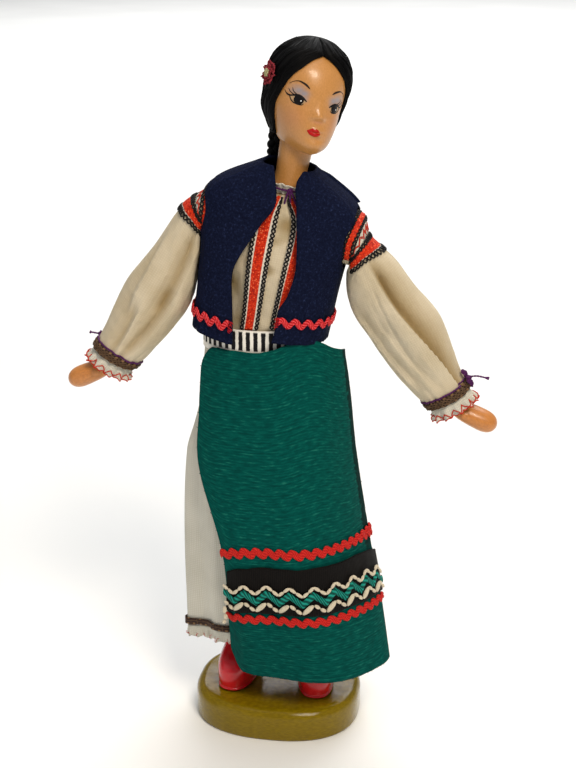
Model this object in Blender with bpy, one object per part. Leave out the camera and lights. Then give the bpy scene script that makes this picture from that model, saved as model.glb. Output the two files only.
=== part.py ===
"""Folk costume doll: a jointed hard-plastic doll in a sewn costume, on an oval stand.

Metres, +Z up. The doll faces -Y, its left hand is on +X, and the origin is the centre of the
stand's underside. The upper body leans, so its pieces are parented to an empty at the waist.
"""
import math

import bmesh
import bpy
from mathutils import Matrix, Vector

# Clearances and cloth
GAP = 0.0004              # air between neighbouring pieces
RUN = 0.0003              # running clearance of a stem in its hole
COTTON = 0.0008           # thickness of blouse, sleeves and underskirt
FELT = 0.0012             # thickness of the vest
WOVEN = 0.0010            # thickness of the apron
RIBBON = 0.0006           # thickness of a sewn-on trim

# Stand
STAND_WIDTH = 0.072
STAND_DEPTH = 0.060
STAND_HEIGHT = 0.014
STAND_EDGE = 0.0040       # rounding of the top edge
STAND_SQUARENESS = 2.4    # 2 is an ellipse

# Boots and foot pegs, with the boot's place taken at its ankle
BOOT_X = 0.016
BOOT_Y = 0.003
BOOT_SPLAY = math.radians(9)
BOOT_TOE = 0.0205         # ankle axis to toe
BOOT_HEEL = 0.0105        # ankle axis to heel
BOOT_HALF_WIDTH = 0.0073
BOOT_VAMP = 0.0110        # height of the toe cap
BOOT_SHAFT = 0.0082       # radius of the shaft
BOOT_HEIGHT = 0.040
SOCKET_DEPTH = 0.014      # how far the leg goes into the boot
PEG_RADIUS = 0.0025
PEG_DEPTH = 0.007         # in the stand, and again in the boot

# Lean of the upper body about the waist
WAIST = Vector((-0.0067, 0.0, 0.172))
LEAN = math.radians(10)

# Legs
LEG_ANKLE = 0.0060        # radius
LEG_THIGH = 0.0082        # radius
LEG_PEG = 0.0040          # radius of the peg in the torso
LEG_PEG_LENGTH = 0.008
HIP_SPREAD = 0.0092       # hip axis to the middle

# Torso, in the leaning frame: height over the waist, half width, half depth
TORSO_WALL = 0.0018
HIP_Z, HIP_WIDE, HIP_DEEP = -0.020, 0.0190, 0.0125
MIDDLE_Z, MIDDLE_WIDE, MIDDLE_DEEP = 0.003, 0.0165, 0.0110
BUST_Z, BUST_WIDE, BUST_DEEP = 0.034, 0.0230, 0.0140
SHOULDER_Z, SHOULDER_WIDE, SHOULDER_DEEP = 0.048, 0.0250, 0.0120
SLOPE_Z, SLOPE_WIDE, SLOPE_DEEP = 0.0540, 0.0205, 0.0100
NECK_Z, NECK_SEAT = 0.0595, 0.0085

# Joints
SHOULDER_STEM = 0.0030    # radius
SHOULDER_FLANGE = 0.0046  # radius
NECK_STEM = 0.0036        # radius
NECK_FLANGE = 0.0056      # radius
FLANGE_THICK = 0.0016
HEAD_TURN = math.radians(29)
NECK_TILT = math.radians(8)   # backward

# Head, in the head's frame, which starts at the foot of the neck
NECK_RADIUS = 0.0063
CHIN_Z = 0.0172
HEAD_TALL = 0.0390        # chin to skull top
HEAD_HALF_WIDTH = 0.0146
FACE_DEPTH = 0.0160       # neck axis to face
SKULL_DEPTH = 0.0190      # neck axis to back of head
HEAD_WALL = 0.0022
HAIR_THICK = 0.0018
HAIR_OPENING = 0.0138     # half width of the face opening
FLOWER_RADIUS = 0.0048
BRAID_RADIUS = 0.0032

# Blouse over the torso, vest over the blouse: ease of half width and of half depth
BLOUSE_TUCK_RISE = 0.0035  # blouse hem over the waistband's lower edge
BLOUSE_HOLD = 0.0049      # straight part over the waistband's upper edge
BLOUSE_WAIST_EASE, BLOUSE_WAIST_DEEP_EASE = 0.0050, 0.0045
BLOUSE_BUST_EASE = 0.0030
BLOUSE_TOP_EASE = 0.0014
COLLAR_HEIGHT = 0.0030
PLACKET_X = 0.0032        # middle of the bare strip between the ribbons
PLACKET_HALF = 0.0030
PLACKET_RIBBON = 0.0068   # width
VEST_HEM_Z = 0.0010
VEST_SQUARENESS = 3.0     # 2 is an ellipse
VEST_HEM_TILT = 0.08      # rise of the hem per unit of width
VEST_HEM_SHIFT = -0.0010  # the hem sits closer at the doll's left
VEST_HEM_EASE, VEST_HEM_DEEP_EASE = 0.0060, 0.0050
VEST_BUST_EASE, VEST_BUST_DEEP_EASE = 0.0028, 0.0032
VEST_SHOULDER_EASE, VEST_SHOULDER_DEEP_EASE = 0.0018, 0.0036
VEST_CORNER_RISE = 0.0060  # shoulder corner over the torso's slope
VEST_CORNER_EASE, VEST_CORNER_DEEP_EASE = 0.0070, 0.0062
VEST_NECK_RISE = 0.0125   # back of the neck over the torso's neck seat
VEST_NECK_EASE = 0.0023
ARMHOLE = 0.0117          # radius in the vest
RICKRACK = 0.0050         # width of every rickrack
VEST_TRIM_Z = 0.0100      # trim over the hem

# Skirt, in the stand's frame: height, middle, half width, half depth
BAND_HIGH = 0.1790
BAND_TALL = 0.0085
BAND_EASE, BAND_DEEP_EASE = 0.0022, 0.0012   # waistband over the blouse
SKIRT_HEM = 0.038
SKIRT_KNEE = 0.122
SKIRT_KNEE_X, SKIRT_KNEE_WIDE, SKIRT_KNEE_DEEP = -0.0082, 0.0333, 0.0200
SKIRT_HEM_X, SKIRT_HEM_WIDE, SKIRT_HEM_DEEP = -0.0022, 0.0398, 0.0205
SKIRT_FOLDS = 9
SKIRT_FOLD_DEPTH = 0.0016
HEM_BAND = 0.0040         # height of the brown band
EDGING = 0.0058           # height of the frill under the hem

# Apron: height, then left edge, front and right edge as seen from above
APRON_TOP = 0.1700
APRON_HEM = 0.0305
CORNER_RISE = 0.0095      # the hem rounds up at the doll's right
CORNER_SHARE = 0.30       # of the half width
APRON_STATIONS = (
    (0.170, (-0.0268, -0.0116), (-0.0008, -0.0184), (0.0190, 0.0030)),
    (0.122, (-0.0277, -0.0212), (0.0045, -0.0262), (0.0280, 0.0050)),
    (0.088, (-0.0201, -0.0290), (0.0079, -0.0322), (0.0355, 0.0060)),
    (0.058, (-0.0180, -0.0275), (0.0110, -0.0312), (0.0430, 0.0020)),
    (0.0305, (-0.0172, -0.0200), (0.0150, -0.0285), (0.0480, -0.0030)),
)
APRON_FOLDS = 2.5
APRON_FOLD_DEPTH = 0.0007
TRIM_OVERHANG = 0.012     # share of the width by which trims pass the edges
UPPER_RICKRACK_Z = 0.0868
BLACK_BAND_TOP, BLACK_BAND_LOW = 0.0812, 0.0612
CHAIN_UPPER_Z = 0.0720
BRAID_Z = 0.0682
CHAIN_LOWER_Z = 0.0644
CHAIN_WIDE = 0.0034       # also the teal braid
LOWER_RICKRACK_Z = 0.0580

# Arms and sleeves, in the leaning frame
ARM_SPREAD = {"left": math.radians(40), "right": math.radians(20)}
ARM_SWING = {"left": 0.0, "right": math.radians(6)}   # forward
ARM_LENGTH = 0.074        # shoulder to wrist
ARM_ROOT = 0.0044         # radius
WRIST = 0.0040            # radius
HAND_LENGTH = 0.021
HAND_FLARE = math.radians(36)
HAND_HALF_WIDTH = 0.0052
HAND_HALF_THICK = 0.0038
SLEEVE_FULL = 0.0108      # radius where it is fullest
SLEEVE_SAG = 0.0042       # how far it hangs below the arm
SLEEVE_NECK = 0.0099      # radius in the armhole
SLEEVE_CUFF = 0.0084      # radius at the cuff
SLEEVE_FOLDS = 6
SLEEVE_POINTS = 18        # corners of each sleeve ring
SLEEVE_FOLD_DEPTH = 0.0006
CUFF_BAND = 0.0046        # height of the brown cuff band
CUFF_FRILL = 0.0055       # length of the frill past the cuff
FRILL_FLARE = 0.0022      # how much wider the frill ends
TIE_RADIUS = 0.0005       # purple thread
SIDES = {"left": 1.0, "right": -1.0}


def clear_scene():
    for old in list(bpy.data.objects):
        bpy.data.objects.remove(old, do_unlink=True)


def to_linear(hex_colour):
    """Linear RGBA of a six-digit sRGB colour."""
    parts = [int(hex_colour[i:i + 2], 16) / 255 for i in (0, 2, 4)]
    return [c / 12.92 if c <= 0.04045 else ((c + 0.055) / 1.055) ** 2.4 for c in parts] + [1.0]


def finish(name, hex_colour, roughness):
    """A Principled material for one sub-part."""
    mat = bpy.data.materials.new(name)
    mat.use_nodes = True
    shader = mat.node_tree.nodes["Principled BSDF"]
    shader.inputs["Base Color"].default_value = to_linear(hex_colour)
    shader.inputs["Roughness"].default_value = roughness
    shader.inputs["Metallic"].default_value = 0.0
    return mat


def add(name, bm, colour, roughness, parent=None):
    """Turn a bmesh into a named sub-part with its own material."""
    bmesh.ops.recalc_face_normals(bm, faces=bm.faces)
    mesh = bpy.data.meshes.new(name)
    bm.to_mesh(mesh)
    bm.free()
    mesh.shade_smooth()
    mesh.set_sharp_from_angle(angle=math.radians(40))
    mesh.materials.append(finish(name, colour, roughness))
    obj = bpy.data.objects.new(name, mesh)
    bpy.context.scene.collection.objects.link(obj)
    obj.parent = parent
    return obj


def cutter(name, bm, parent=None):
    """A tool for a Boolean, which isn't a sub-part."""
    bmesh.ops.recalc_face_normals(bm, faces=bm.faces)
    mesh = bpy.data.meshes.new(name)
    bm.to_mesh(mesh)
    bm.free()
    obj = bpy.data.objects.new(name, mesh)
    bpy.context.scene.collection.objects.link(obj)
    obj.parent = parent
    obj.hide_render = True
    obj.display_type = "WIRE"
    return obj


def boolean(target, tool, operation="DIFFERENCE"):
    modifier = target.modifiers.new(operation.lower() + "_" + tool.name, "BOOLEAN")
    modifier.object = tool
    modifier.operation = operation
    modifier.solver = "EXACT"


def empty(name, location, rotation=(0.0, 0.0, 0.0), parent=None):
    obj = bpy.data.objects.new(name, None)
    bpy.context.scene.collection.objects.link(obj)
    obj.location = location
    obj.rotation_euler = rotation
    obj.parent = parent
    return obj


def loft(rings, loop=False):
    """A closed skin over rings of equal point count, capped at both ends or joined in a loop."""
    bm = bmesh.new()
    rows = [[bm.verts.new(p) for p in ring] for ring in rings]
    pairs = list(zip(rows, rows[1:]))
    if loop:
        pairs.append((rows[-1], rows[0]))
    count = len(rows[0])
    for low, high in pairs:
        for i in range(count):
            j = (i + 1) % count
            bm.faces.new((low[i], low[j], high[j], high[i]))
    if not loop:
        bm.faces.new(rows[0][::-1])
        bm.faces.new(rows[-1])
    return bm


def tube(outer, inner):
    """A tube with a wall, open at both ends, from its outer and inner rings."""
    return loft(outer + inner[::-1], loop=True)


def panel(front, back):
    """A sheet with a thickness, from two equal grids of points."""
    bm = bmesh.new()
    sides = [[[bm.verts.new(p) for p in row] for row in grid] for grid in (front, back)]
    rows, columns = len(front), len(front[0])
    for grid in sides:
        for i in range(rows - 1):
            for j in range(columns - 1):
                bm.faces.new((grid[i][j], grid[i][j + 1], grid[i + 1][j + 1], grid[i + 1][j]))
    top, under = sides
    rim = [(0, j) for j in range(columns)]
    rim += [(i, columns - 1) for i in range(1, rows)]
    rim += [(rows - 1, j) for j in range(columns - 2, -1, -1)]
    rim += [(i, 0) for i in range(rows - 2, 0, -1)]
    for (a, b), (c, d) in zip(rim, rim[1:] + rim[:1]):
        bm.faces.new((top[a][b], top[c][d], under[c][d], under[a][b]))
    return bm


def oval(wide, deep, z, centre=(0.0, 0.0), count=24, power=2.0, phase=0.5):
    """A level ring, an ellipse or, with a higher power, a squarer oval, with no point on its axes."""
    points = []
    for i in range(count):
        angle = 2 * math.pi * (i + phase) / count
        c, s = math.cos(angle), math.sin(angle)
        x = wide * math.copysign(abs(c) ** (2 / power), c)
        y = deep * math.copysign(abs(s) ** (2 / power), s)
        points.append(Vector((centre[0] + x, centre[1] + y, z)))
    return points


def cylinder(radius, start, end, count=20):
    """A closed rod between two points."""
    axis = (Vector(end) - Vector(start)).normalized()
    turn = axis.to_track_quat("Z", "Y")
    ring = oval(radius, radius, 0.0, count=count)
    return loft([[Vector(at) + turn @ p for p in ring] for at in (start, end)])


def along(stations, key):
    """Smooth values between stations, which are rows of a key and its values."""
    rows = sorted(stations)
    key = min(max(key, rows[0][0]), rows[-1][0])
    i = max(k for k in range(len(rows) - 1) if rows[k][0] <= key)
    span = rows[i + 1][0] - rows[i][0]
    t = (key - rows[i][0]) / span

    def slope(k, column):
        before, after = rows[max(k - 1, 0)], rows[min(k + 1, len(rows) - 1)]
        return (after[column] - before[column]) / (after[0] - before[0])

    values = []
    for column in range(1, len(rows[0])):
        a, b = rows[i][column], rows[i + 1][column]
        m, n = slope(i, column) * span, slope(i + 1, column) * span
        values.append((2 * t ** 3 - 3 * t * t + 1) * a + (t ** 3 - 2 * t * t + t) * m
                      + (3 * t * t - 2 * t ** 3) * b + (t ** 3 - t * t) * n)
    return values


def spread(low, high, steps):
    """Evenly spaced values from low to high."""
    return [low + (high - low) * i / steps for i in range(steps + 1)]


def box(low, high):
    """A closed box between two corners."""
    (a, b, c), (d, e, f) = low, high
    return loft([[Vector(p + (z,)) for p in ((a, b), (d, b), (d, e), (a, e))] for z in (c, f)])


# Frames: the leaning upper body, the neck's axis and the shoulders' axes

LEAN_FRAME = Matrix.Translation(WAIST) @ Matrix.Rotation(LEAN, 4, "Y")
TORSO = (
    (HIP_Z, HIP_WIDE, HIP_DEEP),
    (MIDDLE_Z, MIDDLE_WIDE, MIDDLE_DEEP),
    (BUST_Z, BUST_WIDE, BUST_DEEP),
    (SHOULDER_Z, SHOULDER_WIDE, SHOULDER_DEEP),
    (SLOPE_Z, SLOPE_WIDE, SLOPE_DEEP),
    (NECK_Z, NECK_SEAT, NECK_SEAT),
)
NECK_LIFT = GAP + 1.04 * NECK_RADIUS * math.sin(NECK_TILT)   # the tilted neck's foot over the torso
BOOT_FLOOR = STAND_HEIGHT + GAP
BOOT_TOP = BOOT_FLOOR + BOOT_HEIGHT
ARM_START = 2.5 * GAP     # air between the torso's side and the arm
ARM_BORE = 0.0050         # depth of the plug's hole in the arm


# Stand, boots and legs

def make_stand():
    under = STAND_EDGE / 4
    rows = [(under, 0.0), (0.0, under)]
    for step in range(4):
        turn = math.radians(30 * step)
        rise = STAND_EDGE * (1 - math.sin(turn))
        rows.append((STAND_EDGE * (1 - math.cos(turn)), STAND_HEIGHT - rise))
    rings = [oval(STAND_WIDTH / 2 - inset, STAND_DEPTH / 2 - inset, z, count=36,
                  power=STAND_SQUARENESS) for inset, z in rows]
    stand = add("stand", loft(rings), "7A6408", 0.12)
    for side, sign in SIDES.items():
        foot = (sign * BOOT_X, BOOT_Y)
        hole = cylinder(PEG_RADIUS + GAP, foot + (STAND_HEIGHT - PEG_DEPTH,), foot + (BOOT_TOP,), 16)
        boolean(stand, cutter("stand_hole_" + side, hole))


def make_foot_peg(side, sign):
    foot = (sign * BOOT_X, BOOT_Y)
    low, high = STAND_HEIGHT - PEG_DEPTH + GAP, BOOT_FLOOR + PEG_DEPTH - GAP
    add("foot_peg_" + side, cylinder(PEG_RADIUS, foot + (low,), foot + (high,), 16), "C9A66B", 0.6)


def make_boot(side, sign):
    def ring(z, toe, heel, half_width):
        return oval(half_width, (toe + heel) / 2, z, ((0.0, (heel - toe) / 2)), count=20)

    bore, socket = PEG_RADIUS + GAP, LEG_ANKLE + GAP
    instep = (BOOT_TOE + BOOT_SHAFT) / 2
    rings = [
        ring(PEG_DEPTH, bore, bore, bore),
        ring(0.0, bore, bore, bore),
        ring(0.0, BOOT_TOE * 0.95, BOOT_HEEL * 0.95, BOOT_HALF_WIDTH * 0.93),
        ring(BOOT_VAMP * 0.2, BOOT_TOE, BOOT_HEEL, BOOT_HALF_WIDTH),
        ring(BOOT_VAMP * 0.6, BOOT_TOE * 0.97, BOOT_HEEL, BOOT_HALF_WIDTH),
        ring(BOOT_VAMP * 0.9, (BOOT_TOE + instep) / 2, BOOT_HEEL * 0.97, BOOT_HALF_WIDTH * 0.97),
        ring(BOOT_VAMP * 1.1, instep, BOOT_HEEL * 0.93, BOOT_HALF_WIDTH),
        ring(BOOT_VAMP * 1.5, BOOT_SHAFT * 1.1, BOOT_SHAFT * 1.05, BOOT_SHAFT * 0.95),
        ring(BOOT_HEIGHT, BOOT_SHAFT, BOOT_SHAFT, BOOT_SHAFT),
        ring(BOOT_HEIGHT, socket, socket, socket),
        ring(BOOT_HEIGHT - SOCKET_DEPTH, socket, socket, socket),
    ]
    boot = add("boot_" + side, loft(rings), "D81E22", 0.15)
    boot.location = (sign * BOOT_X, BOOT_Y, BOOT_FLOOR)
    boot.rotation_euler = (0.0, 0.0, sign * BOOT_SPLAY)


def hip_of(sign):
    """Middle of the leg's top, just under the torso's slanted floor."""
    hip = LEAN_FRAME @ Vector((sign * HIP_SPREAD, 0.0, HIP_Z))
    hip.z = (LEAN_FRAME @ Vector((sign * HIP_SPREAD + LEG_THIGH, 0.0, HIP_Z))).z - GAP
    return hip


def make_leg(side, sign):
    hip = hip_of(sign)
    foot = Vector((sign * BOOT_X, BOOT_Y, BOOT_TOP - SOCKET_DEPTH + GAP))
    ankle = Vector((foot.x, foot.y, BOOT_TOP + GAP))
    calf, knee = ankle.lerp(hip, 0.3), ankle.lerp(hip, 0.5)
    peg_end = hip + Vector((0.0, 0.0, LEG_PEG_LENGTH))
    rows = [(foot, LEG_ANKLE), (ankle, LEG_ANKLE), (calf, (LEG_ANKLE + LEG_THIGH) / 2),
            (knee, (LEG_ANKLE * 2 + LEG_THIGH) / 3), (hip, LEG_THIGH), (hip, LEG_PEG),
            (peg_end, LEG_PEG)]
    rings = [oval(r, r, at.z, (at.x, at.y), count=16) for at, r in rows]
    add("leg_" + side, loft(rings), "C8935A", 0.35)


# Torso of two half shells

def torso_solid(inset):
    heights = spread(HIP_Z + inset, NECK_Z - inset, 10)
    rings = []
    for z in heights:
        wide, deep = along(TORSO, z)
        rings.append(oval(wide - inset, deep - inset, z, count=20))
    return loft(rings)


def make_torso(upper, neck):
    reach = 3 * SHOULDER_WIDE
    tools = [cutter("torso_hollow", torso_solid(TORSO_WALL), upper)]
    bore = cylinder(SHOULDER_STEM + RUN, (-reach, 0, SHOULDER_Z), (reach, 0, SHOULDER_Z), 16)
    tools.append(cutter("shoulder_bore", bore, upper))
    throat = cylinder(NECK_STEM + RUN, (0, 0, -4 * TORSO_WALL), (0, 0, reach), 16)
    tools.append(cutter("neck_bore", throat, neck))
    for side, sign in SIDES.items():
        hip = hip_of(sign)
        end = hip + Vector((0.0, 0.0, 2 * LEG_PEG_LENGTH))
        start = hip - Vector((0.0, 0.0, LEG_PEG_LENGTH))
        tools.append(cutter("hip_hole_" + side, cylinder(LEG_PEG + GAP, start, end, 16)))
    seam = GAP / 2
    halves = {
        "torso_front": box((-reach, -seam, -reach), (reach, reach, reach)),
        "torso_back": box((-reach, -reach, -reach), (reach, seam, reach)),
    }
    for name, other_half in halves.items():
        shell = add(name, torso_solid(0.0), "C8935A", 0.35, upper)
        for tool in tools:
            boolean(shell, tool)
        boolean(shell, cutter(name + "_cut", other_half, upper))


# Blouse

BAND_LOW = BAND_HIGH - BAND_TALL
BLOUSE_TUCK_Z = (BAND_LOW - WAIST.z) / math.cos(LEAN) + BLOUSE_TUCK_RISE
BLOUSE_HOLD_Z = (BAND_HIGH - WAIST.z) / math.cos(LEAN) + BLOUSE_HOLD
BLOUSE_TOP_Z = NECK_Z + 4.5 * GAP
COLLAR_RADIUS = NECK_RADIUS + 2 * GAP + COTTON
BLOUSE = (
    (BLOUSE_TUCK_Z, MIDDLE_WIDE + BLOUSE_WAIST_EASE, MIDDLE_DEEP + BLOUSE_WAIST_DEEP_EASE),
    (BLOUSE_HOLD_Z, MIDDLE_WIDE + BLOUSE_WAIST_EASE, MIDDLE_DEEP + BLOUSE_WAIST_DEEP_EASE),
    (BUST_Z, BUST_WIDE + BLOUSE_BUST_EASE, BUST_DEEP + BLOUSE_BUST_EASE),
    (SHOULDER_Z, SHOULDER_WIDE + (BLOUSE_BUST_EASE + BLOUSE_TOP_EASE) / 2,
     SHOULDER_DEEP + (BLOUSE_BUST_EASE + BLOUSE_TOP_EASE) / 2),
    (SLOPE_Z, SLOPE_WIDE + BLOUSE_BUST_EASE, SLOPE_DEEP + BLOUSE_BUST_EASE),
    (NECK_Z, NECK_SEAT + BLOUSE_TOP_EASE, NECK_SEAT + BLOUSE_TOP_EASE),
    (BLOUSE_TOP_Z, COLLAR_RADIUS, COLLAR_RADIUS),
)


def make_blouse(upper):
    heights = spread(BLOUSE_TUCK_Z, NECK_Z, 8) + [BLOUSE_TOP_Z]
    outer, inner = [], []
    for z in heights:
        wide, deep = along(BLOUSE, z)
        outer.append(oval(wide, deep, z))
        inner.append(oval(wide - COTTON, deep - COTTON, z))
    blouse = add("blouse_body", tube(outer, inner), "D8CDB4", 0.85, upper)
    reach = 3 * SHOULDER_WIDE
    radius = SLEEVE_NECK + COTTON + GAP
    hole = cylinder(radius, (-reach, 0, SHOULDER_Z), (reach, 0, SHOULDER_Z), 20)
    boolean(blouse, cutter("blouse_armholes", hole, upper))


def ring_band(name, radius, thick, low, high, colour, roughness, parent):
    """A round band about the leaning axis, from its inner radius."""
    outer = [oval(radius + thick, radius + thick, z, count=24) for z in (low, high)]
    inner = [oval(radius, radius, z, count=24) for z in (low, high)]
    add(name, tube(outer, inner), colour, roughness, parent)


def make_collar_and_tie(upper):
    low = BLOUSE_TOP_Z + GAP
    ring_band("blouse_collar", COLLAR_RADIUS - COTTON, COTTON, low, low + COLLAR_HEIGHT,
              "E6DCC6", 0.85, upper)
    middle = low + COLLAR_HEIGHT / 2
    ring_band("neck_tie", COLLAR_RADIUS + GAP, 2 * TIE_RADIUS, middle - TIE_RADIUS,
              middle + TIE_RADIUS, "4A1A50", 0.6, upper)


def make_placket_ribbon(side, sign, upper):
    near = PLACKET_X + sign * PLACKET_HALF
    columns = spread(near, near + sign * PLACKET_RIBBON, 4)
    low = (BAND_HIGH - WAIST.z) / math.cos(LEAN) + max(columns) * math.tan(LEAN) + 2 * GAP
    rows = spread(low, NECK_Z - 4 * RIBBON, 9)

    def grid(offset):
        points = []
        for z in rows:
            wide, deep = along(BLOUSE, z)
            wide, deep = wide + offset, deep + offset
            taper = min(1.0, 0.8 * wide / BUST_WIDE)
            row = []
            for x in columns:
                at = x * taper
                row.append(Vector((at, -deep * math.sqrt(1 - (at / wide) ** 2), z)))
            points.append(row)
        return points

    add("placket_ribbon_" + side, panel(grid(GAP + RIBBON), grid(GAP)), "D8330F", 0.7, upper)


# Vest

VEST_TOP_Z = NECK_Z + VEST_NECK_RISE
VEST_CORNER_Z = SLOPE_Z + VEST_CORNER_RISE
VEST = (
    (VEST_HEM_Z, MIDDLE_WIDE + BLOUSE_WAIST_EASE + VEST_HEM_EASE,
     MIDDLE_DEEP + BLOUSE_WAIST_DEEP_EASE + VEST_HEM_DEEP_EASE),
    (BUST_Z, BUST_WIDE + BLOUSE_BUST_EASE + VEST_BUST_EASE,
     BUST_DEEP + BLOUSE_BUST_EASE + VEST_BUST_DEEP_EASE),
    (SHOULDER_Z, BLOUSE[3][1] + VEST_SHOULDER_EASE, BLOUSE[3][2] + VEST_SHOULDER_DEEP_EASE),
    (VEST_CORNER_Z, SLOPE_WIDE + VEST_CORNER_EASE, SLOPE_DEEP + VEST_CORNER_DEEP_EASE),
    (VEST_TOP_Z, NECK_SEAT + VEST_NECK_EASE, NECK_SEAT + VEST_NECK_EASE),
)
VEST_HALF = max(row[1] for row in VEST)
# Front opening: distance from the middle, and share of the way from hem to neck
OPENING_RIGHT = ((-0.0085, 1.06), (-0.0035, 0.93), (-0.0015, 0.81), (-0.0060, 0.68),
                 (-0.0126, 0.46), (-0.0134, 0.38), (-0.0092, 0.06), (-0.0070, -0.20))
OPENING_LEFT = ((0.0095, 1.06), (0.0048, 0.95), (0.0067, 0.83), (0.0110, 0.49),
                (0.0098, 0.30), (0.0072, 0.20), (0.0078, 0.14), (0.0055, -0.20))
TRIM_EDGES = (-0.0108, 0.0082)   # front ends of the vest's trim


def vest_point(angle, z, offset):
    """A point of the vest's outer surface, moved outward, with the hem's tilt."""
    wide, deep = along(VEST, z)
    c, s = math.cos(angle), math.sin(angle)
    x = (wide + offset) * math.copysign(abs(c) ** (2 / VEST_SQUARENESS), c)
    y = (deep + offset) * math.copysign(abs(s) ** (2 / VEST_SQUARENESS), s)
    fade = (VEST_TOP_Z - z) / (VEST_TOP_Z - VEST_HEM_Z)
    return Vector((x + VEST_HEM_SHIFT * fade, y, z + VEST_HEM_TILT * x * fade))


def make_vest(upper):
    heights = spread(VEST_HEM_Z, VEST_CORNER_Z, 6) + spread(VEST_CORNER_Z, VEST_TOP_Z, 3)[1:]
    angles = spread(0.0, 2 * math.pi, 28)[:-1]
    outer = [[vest_point(t, z, 0.0) for t in angles] for z in heights]
    inner = [[vest_point(t, z, -FELT) for t in angles] for z in heights]
    vest = add("vest", tube(outer, inner), "151C38", 0.9, upper)
    tall = VEST_TOP_Z - VEST_HEM_Z
    outline = [(x, VEST_HEM_Z + share * tall) for x, share in OPENING_RIGHT]
    outline += [(x, VEST_HEM_Z + share * tall) for x, share in reversed(OPENING_LEFT)]
    front = [[Vector((x, y, z)) for x, z in outline] for y in (-3 * VEST[0][2], 0.0)]
    boolean(vest, cutter("vest_opening", loft(front), upper))
    reach = 2 * VEST_HALF
    hole = cylinder(ARMHOLE, (-reach, 0, SHOULDER_Z), (reach, 0, SHOULDER_Z), 24)
    boolean(vest, cutter("vest_armholes", hole, upper))


def make_vest_rickrack(upper):
    middle = VEST_HEM_Z + VEST_TRIM_Z
    wide = along(VEST, middle)[0]
    power = VEST_SQUARENESS / 2
    left, right = ((edge - VEST_HEM_SHIFT) / wide for edge in reversed(TRIM_EDGES))
    start = -math.acos(left ** power)
    end = math.pi + math.acos((-right) ** power)
    angles = spread(start, end, 26)
    rows = spread(middle - RICKRACK / 2, middle + RICKRACK / 2, 1)
    grids = [[[vest_point(t, z, offset) for t in angles] for z in rows]
             for offset in (GAP + RIBBON, GAP)]
    add("vest_rickrack", panel(*grids), "E0303A", 0.7, upper)


# Waistband and underskirt, which hang level

BAND_WIDE = MIDDLE_WIDE + BLOUSE_WAIST_EASE + BAND_EASE + COTTON
BAND_DEEP = MIDDLE_DEEP + BLOUSE_WAIST_DEEP_EASE + BAND_DEEP_EASE + COTTON
SKIRT_TOP = BAND_LOW - GAP
SKIRT = (
    (SKIRT_TOP, WAIST.x, BAND_WIDE, BAND_DEEP),
    (SKIRT_KNEE, SKIRT_KNEE_X, SKIRT_KNEE_WIDE, SKIRT_KNEE_DEEP),
    (SKIRT_HEM, SKIRT_HEM_X, SKIRT_HEM_WIDE, SKIRT_HEM_DEEP),
)


def skirt_ring(z, offset):
    """A folded ring of the underskirt's outer surface, moved outward."""
    middle, wide, deep = along(SKIRT, z)
    drop = min(1.0, (SKIRT_TOP - z) / (SKIRT_TOP - SKIRT_HEM))
    points = []
    for angle in spread(0.0, 2 * math.pi, 5 * SKIRT_FOLDS)[:-1]:
        fold = SKIRT_FOLD_DEPTH * drop * (math.cos(SKIRT_FOLDS * angle) - 1)
        points.append(Vector((middle + (wide + offset + fold) * math.cos(angle),
                              (deep + offset + fold) * math.sin(angle), z)))
    return points


def skirt_band(name, heights, offset, thick, colour, roughness):
    outer = [skirt_ring(z, offset + thick) for z in heights]
    inner = [skirt_ring(z, offset) for z in heights]
    add(name, tube(outer, inner), colour, roughness)


def make_skirt():
    outer = [oval(BAND_WIDE, BAND_DEEP, z, (WAIST.x, WAIST.y), count=32) for z in (BAND_LOW, BAND_HIGH)]
    inner = [oval(BAND_WIDE - COTTON, BAND_DEEP - COTTON, z, (WAIST.x, WAIST.y), count=32)
             for z in (BAND_LOW, BAND_HIGH)]
    add("waistband", tube(outer, inner), "E4DFD2", 0.85)
    skirt_band("underskirt", spread(SKIRT_HEM, SKIRT_TOP, 6), -COTTON, COTTON, "D6D3C8", 0.85)
    band = (SKIRT_HEM + GAP, SKIRT_HEM + GAP + HEM_BAND)
    skirt_band("underskirt_hem_band", band, GAP, RIBBON, "3A2A22", 0.8)
    frill = (SKIRT_HEM - GAP - EDGING, SKIRT_HEM - GAP)
    skirt_band("underskirt_edging", frill, -COTTON, COTTON, "E8E4DA", 0.85)


# Apron and its trims

LEFT_SWEEP = math.radians(65)     # arc from the apron's front to its edge on the doll's right
RIGHT_SWEEP = math.radians(88)    # and to its edge on the doll's left
APRON = tuple((z,) + left + front + right for z, left, front, right in APRON_STATIONS)


def apron_base(u, z):
    """A point of the apron's back, with u from -1 at the doll's right to 1 at its left."""
    left_x, left_y, front_x, front_y, right_x, right_y = along(APRON, z)
    if u < 0:
        arc, edge_x, edge_y = LEFT_SWEEP, left_x, left_y
    else:
        arc, edge_x, edge_y = RIGHT_SWEEP, right_x, right_y
    turn = abs(u) * arc
    across = math.sin(turn) / math.sin(arc)
    back = (1 - math.cos(turn)) / (1 - math.cos(arc))
    return Vector((front_x + (edge_x - front_x) * across, front_y + (edge_y - front_y) * back, z))


def apron_point(u, z, offset):
    """A point over the apron's back, with its soft folds."""
    step = 0.01
    along_width = apron_base(u + step, z) - apron_base(u - step, z)
    along_drop = apron_base(u, z + step * STAND_HEIGHT) - apron_base(u, z - step * STAND_HEIGHT)
    outward = along_width.cross(along_drop).normalized()
    drop = (APRON_TOP - z) / (APRON_TOP - APRON_HEM)
    fold = APRON_FOLD_DEPTH * drop * (1 + math.sin(math.pi * APRON_FOLDS * u))
    return apron_base(u, z) + outward * (offset + fold)


def apron_hem(u):
    """Height of the hem, which rounds up at the doll's right."""
    return APRON_HEM + CORNER_RISE * max(0.0, (CORNER_SHARE - 1 - u) / CORNER_SHARE) ** 2


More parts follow.
